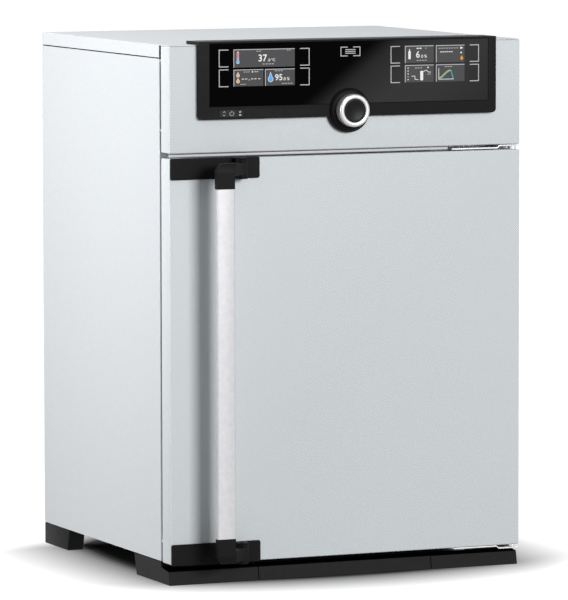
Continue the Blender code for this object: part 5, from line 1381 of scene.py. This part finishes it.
def floor_material(look):
    """Pale matt floor that reads as white where no shadow lies; a painted shadow darkens it under and round
    the case.
    """
    made = bpy.data.materials.new("pale_floor")
    made.use_nodes = True
    tree = made.node_tree
    tree.nodes.clear()
    rays = add_node(tree, "LightPath")
    seen = maths(tree, "MAXIMUM", rays.outputs["Is Camera Ray"], rays.outputs["Is Transmission Ray"])
    place, x, y, _ = own_place(tree)
    grey = mixed(tree, noise(tree, place, 2.0, 2.0), (0.17, 0.17, 0.17, 1), (0.19, 0.19, 0.19, 1))
    # Painted shadow tone, and the glow that fades it into the white floor.
    near, clear = painted_floor_shadow(tree, x, y, look)
    tone = add_node(tree, "CombineColor", {"Red": near, "Green": near, "Blue": near}).outputs[0]
    matt = add_node(tree, "BsdfDiffuse", {"Color": mixed(tree, seen, grey, tone)})
    glow = maths(tree, "MAXIMUM", maths(tree, "MULTIPLY", seen, clear),
                 maths(tree, "MULTIPLY", rays.outputs["Is Glossy Ray"], 0.85))
    lift = add_node(tree, "Emission", {"Color": (1, 1, 1, 1), "Strength": glow})
    both = add_node(tree, "AddShader", {0: matt.outputs[0], 1: lift.outputs[0]})
    add_node(tree, "OutputMaterial", {"Surface": both.outputs[0]})
    return made


def area_lamp(name, place, target, size, power):
    """Soft white lamp that looks at a point."""
    data = bpy.data.lights.new(name, "AREA")
    data.shape, data.size, data.size_y, data.energy = "RECTANGLE", *size, power
    lamp = link(name, data)
    lamp.location = place
    lamp.rotation_euler = (Vector(target) - Vector(place)).to_track_quat("-Z", "Y").to_euler()


def make_stage(look):
    """Floor, lamps, world and the camera at the photograph's angle."""
    bm = bmesh.new()
    flat_face(bm, rectangle((-60, -60), (60, 60)), 0.0)
    floor = shown(bm, "floor")
    floor.data.materials.append(floor_material(look))
    set_world(look)
    area_lamp("key_left", (-1.7, 0.0, 0.95), (-0.2, 0.0, 0.85), (0.7, 0.7), look.key_light)
    area_lamp("fill_front", (1.35, -6.65, 2.2), (0.0, 0.0, 0.4), (2.3, 1.9), look.front_light)
    area_lamp("top_soft", (-1.0, 0.1, 2.6), (0.0, 0.0, 0.8), (1.4, 1.4), look.top_light)
    data = bpy.data.cameras.new("view")
    data.sensor_width, data.lens, data.clip_end = 36.0, look.lens, 200.0
    data.shift_x, data.shift_y = look.shift
    camera = link("view", data)
    camera.location = look.camera_place
    yaw, pitch, roll = look.camera_turn
    camera.rotation_euler = (math.pi / 2 + pitch, roll, yaw)
    bpy.context.scene.camera = camera
    bpy.context.scene.view_settings.view_transform = "Standard"


# Settings a user can change

def length_prop(name, about, default, low, high):
    """Setting in metres."""
    return bpy.props.FloatProperty(name=name, description=about, default=default, min=low, max=high,
                                   unit="LENGTH")


def number_prop(name, about, default, low, high, **kind):
    """Setting that is a plain number, or one of a unit or subtype."""
    return bpy.props.FloatProperty(name=name, description=about, default=default, min=low, max=high, **kind)


def count_prop(name, about, default, low, high):
    """Setting that is a whole number."""
    return bpy.props.IntProperty(name=name, description=about, default=default, min=low, max=high)


def colour_prop(name, about, default):
    """Setting that is a colour."""
    return bpy.props.FloatVectorProperty(name=name, description=about, default=default, min=0.0, max=1.0,
                                         subtype="COLOR", size=3)


class IncubatorFinish(bpy.types.PropertyGroup):
    """Colours and surface values of the incubator."""
    case_colour: colour_prop("Case colour", "Base colour of the patterned sheet", (0.655, 0.695, 0.715))
    side_colour: colour_prop("Side colour", "Base colour of the side and top sheet", (0.66, 0.69, 0.715))
    case_roughness: number_prop("Case roughness", "Roughness of the stainless sheet", 0.62, 0.0, 1.0,
                                subtype="FACTOR")
    pattern_pitch: length_prop("Pattern pitch", "Distance between lines of the rolled pattern", 0.0039,
                               0.001, 0.02)
    pattern_contrast: number_prop("Pattern contrast", "Change of tone over the rolled pattern", 0.17, 0.0,
                                  0.5)
    bar_colour: colour_prop("Bar colour", "Base colour of the handle bar", (0.51, 0.51, 0.525))
    plastic_colour: colour_prop("Moulding colour", "Base colour of the black mouldings",
                                (0.0036, 0.0036, 0.0038))


class IncubatorSizes(bpy.types.PropertyGroup):
    """Sizes of details that the frame leaves open."""
    sheet_edge: length_prop("Sheet edge", "Outer bend radius of the sheet", 0.0016, 0.0013, 0.01)
    sheet_corner: length_prop("Sheet corner", "Corner radius of the front pans", 0.002, 0.0013, 0.02)
    bezel_drop: length_prop("Bezel drop", "Height of the bezel under the case top", 0.1093, 0.05, 0.15)
    bezel_corner: length_prop("Bezel corner", "Corner radius of the bezel", 0.006, 0.001, 0.02)
    pane_notch: length_prop("Pane notch", "Radius of the pane's cut-out round the dial", 0.0324, 0.02, 0.06)
    bezel_swell: length_prop("Bezel swell", "Radius of the bezel's lower edge round the dial", 0.0334, 0.02,
                             0.04)
    seat_radius: length_prop("Seat radius", "Radius of the dial's seat", 0.0312, 0.02, 0.04)
    display_gap: length_prop("Display gap", "Space between the fields of a display", 0.0036, 0.001, 0.01)
    touch_reach: length_prop("Touch mark reach", "Depth of the touch marks beside the displays", 0.0146,
                             0.004, 0.03)
    touch_line: length_prop("Touch mark line", "Line width of the touch marks", 0.0013, 0.0004, 0.004)
    touch_margin: length_prop("Touch mark margin", "Space between a display and its touch marks", 0.0086,
                              0.002, 0.03)
    shelf_columns: count_prop("Shelf columns", "Holes across a shelf", 26, 4, 60)
    shelf_rows: count_prop("Shelf rows", "Holes from front to back of a shelf", 17, 4, 60)
    shelf_hole: length_prop("Shelf hole", "Radius of the shelf holes", 0.0042, 0.001, 0.006)
    screw_inset: length_prop("Screw inset", "Distance of the rear screws from the panel's edge", 0.009,
                             0.005, 0.03)
    screw_radius: length_prop("Screw radius", "Radius of the rear screw heads", 0.0040, 0.002, 0.008)
    dial_bore: length_prop("Dial bore", "Inner radius of the dial ring", 0.0173, 0.01, 0.03)
    dial_grooves: count_prop("Dial grooves", "Grooves round the dial ring", 48, 12, 120)
    rail_height: length_prop("Rail height", "Height of the rail above the door", 0.0042, 0.001, 0.008)
    rail_space: length_prop("Rail space", "Space between the rail and the upper hinge strip", 0.0068,
                            0.0003, 0.02)
    upper_joggle: length_prop("Upper joggle", "Upper hinge strip's step from the case's side", 0.0353, 0.01,
                              0.06)
    lower_joggle: length_prop("Lower joggle", "Lower hinge strip's step from the case's side", 0.036, 0.01,
                              0.06)
    hub_radius: length_prop("Hub radius", "Radius of the handle hubs", 0.0095, 0.005, 0.02)
    frame_rebate: length_prop("Frame rebate", "From the glass door's seal to the frame's opening", 0.018,
                              0.005, 0.03)
    frame_corner: length_prop("Frame corner", "Corner radius of the frame's opening", 0.05, 0.01, 0.06)
    # The seam holds a black strip of painted shade.
    cover_seam: length_prop("Cover seam", "Height of the dark seam below the top cover", 0.0014, 0.0003,
                            0.003)
    arm_lean: length_prop("Arm lean", "Sideways lean of the handle arms' caps", 0.0065, 0.0, 0.01)


class IncubatorStage(bpy.types.PropertyGroup):
    """Light, floor and camera."""
    world_light: number_prop("World light", "Strength of the even light", 0.25, 0.0, 2.0)
    key_light: number_prop("Left light", "Power of the left lamp", 19.5, 0.0, 1000.0, unit="POWER")
    front_light: number_prop("Front light", "Power of the front lamp", 310.0, 0.0, 1000.0, unit="POWER")
    top_light: number_prop("Top light", "Power of the top lamp", 20.0, 0.0, 1000.0, unit="POWER")
    # The floor's tone and glow shape its painted shadow.
    floor_seen: number_prop("Floor tone", "Tone of the floor in direct view", 0.178, 0.0, 1.0)
    floor_lift: number_prop("Floor lift", "Glow of the floor away from the case", 1.0, 0.0, 2.0)
    floor_clear: length_prop("Clear distance", "Where the floor's glow is full", 0.148, 0.01, 5.0)
    lens: number_prop("Lens", "Focal length of the camera", 324.54, 10.0, 600.0)
    shift: bpy.props.FloatVectorProperty(name="Shift", description="Camera shift", size=2,
                                         default=(-0.081, -0.0393))
    camera_place: bpy.props.FloatVectorProperty(name="Camera place", description="Camera location", size=3,
                                                subtype="XYZ", unit="LENGTH",
                                                default=(-3.258, -7.5485, 1.151))
    camera_turn: bpy.props.FloatVectorProperty(
        name="Camera turn", description="Yaw, pitch and roll of the camera", size=3, unit="ROTATION",
        default=(math.radians(-23.87), math.radians(-5.02), math.radians(0.06)))


# Operators

def run(settings, *steps):
    """Run making functions with their settings; an error in one of them stops the script."""
    for step in steps:
        step(settings)
    return {"FINISHED"}


class MakeCase(bpy.types.Operator):
    """Build the side panels and the top cover"""
    bl_idname = "incubator.make_case"
    bl_label = "Case"

    def execute(self, context):
        return run(context.scene.incubator_sizes, make_case)


class MakeFascia(bpy.types.Operator):
    """Build the control fascia above the door"""
    bl_idname = "incubator.make_fascia"
    bl_label = "Fascia"

    def execute(self, context):
        return run(context.scene.incubator_sizes, make_fascia)


class MakeBezel(bpy.types.Operator):
    """Build the bezel, its pane and the power key"""
    bl_idname = "incubator.make_bezel"
    bl_label = "Bezel"

    def execute(self, context):
        return run(context.scene.incubator_sizes, make_bezel, make_pane, make_power_key)


class MakeDisplays(bpy.types.Operator):
    """Build the lit images and the printed touch marks"""
    bl_idname = "incubator.make_displays"
    bl_label = "Displays"

    def execute(self, context):
        return run(context.scene.incubator_sizes, make_displays, make_touch_marks, make_power_marks)


class MakeDial(bpy.types.Operator):
    """Build the dial ring, its seat and its key"""
    bl_idname = "incubator.make_dial"
    bl_label = "Dial"

    def execute(self, context):
        return run(context.scene.incubator_sizes, make_seat, make_ring, make_confirm_key)


class MakeDoor(bpy.types.Operator):
    """Build the outer door's skin"""
    bl_idname = "incubator.make_door"
    bl_label = "Door"

    def execute(self, context):
        return run(context.scene.incubator_sizes, make_door)


class MakeHandle(bpy.types.Operator):
    """Build the handle bar, its arms and bracket plates"""
    bl_idname = "incubator.make_handle"
    bl_label = "Handle"

    def execute(self, context):
        return run(context.scene.incubator_sizes, make_handle)


class MakeHinges(bpy.types.Operator):
    """Build the door's hinge strips"""
    bl_idname = "incubator.make_hinges"
    bl_label = "Hinges"

    def execute(self, context):
        return run(context.scene.incubator_sizes, make_hinges)


class MakeFeet(bpy.types.Operator):
    """Build the feet and the plinth bar"""
    bl_idname = "incubator.make_feet"
    bl_label = "Feet"

    def execute(self, context):
        return run(context.scene.incubator_sizes, make_feet)


class MakeSeams(bpy.types.Operator):
    """Build the rail above the door and the tabs in the gap"""
    bl_idname = "incubator.make_seams"
    bl_label = "Seams"

    def execute(self, context):
        return run(context.scene.incubator_sizes, make_seams)


class MakeShelves(bpy.types.Operator):
    """Build the perforated shelves"""
    bl_idname = "incubator.make_shelves"
    bl_label = "Shelves"

    def execute(self, context):
        return run(context.scene.incubator_sizes, make_shelves)


class MakeInside(bpy.types.Operator):
    """Build the chamber, the inner door sides and the rear"""
    bl_idname = "incubator.make_inside"
    bl_label = "Inside and rear"

    def execute(self, context):
        return run(context.scene.incubator_sizes, make_inside, make_screws, make_inlet_contacts,
                   make_frame_corners)


class FinishFrame(bpy.types.Operator):
    """Give the CAD nodes that stay their materials"""
    bl_idname = "incubator.finish_frame"
    bl_label = "Frame finishes"

    def execute(self, context):
        finish_frame()
        return {"FINISHED"}


class MakeStage(bpy.types.Operator):
    """Set up the floor, lamps, world and camera"""
    bl_idname = "incubator.make_stage"
    bl_label = "Stage"

    def execute(self, context):
        return run(context.scene.incubator_stage, make_stage)


OPERATORS = (MakeStage, FinishFrame, MakeCase, MakeFascia, MakeBezel, MakeDisplays, MakeDial, MakeDoor,
             MakeHandle, MakeHinges, MakeSeams, MakeFeet, MakeShelves, MakeInside)


class IncubatorPanel(bpy.types.Panel):
    """Sidebar panel that lists the incubator's pieces"""
    bl_idname = "VIEW3D_PT_incubator"
    bl_label = "Incubator"
    bl_space_type = "VIEW_3D"
    bl_region_type = "UI"
    bl_category = "Incubator"

    def draw(self, context):
        column = self.layout.column(align=True)
        for item in OPERATORS:
            column.operator(item.bl_idname)


SETTINGS = (("incubator_finish", IncubatorFinish), ("incubator_sizes", IncubatorSizes),
            ("incubator_stage", IncubatorStage))


def register():
    """Add the settings, operators and panel."""
    for name, group in SETTINGS:
        bpy.utils.register_class(group)
        setattr(bpy.types.Scene, name, bpy.props.PointerProperty(type=group))
    for item in (*OPERATORS, IncubatorPanel):
        bpy.utils.register_class(item)


def unregister():
    """Take the panel, operators and settings away."""
    for item in reversed((*OPERATORS, IncubatorPanel)):
        bpy.utils.unregister_class(item)
    for name, group in reversed(SETTINGS):
        delattr(bpy.types.Scene, name)
        bpy.utils.unregister_class(group)


def main():
    """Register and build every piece."""
    register()
    for item in OPERATORS:
        area, step = item.bl_idname.split(".")
        getattr(getattr(bpy.ops, area), step)()


if __name__ == "__main__":
    main()
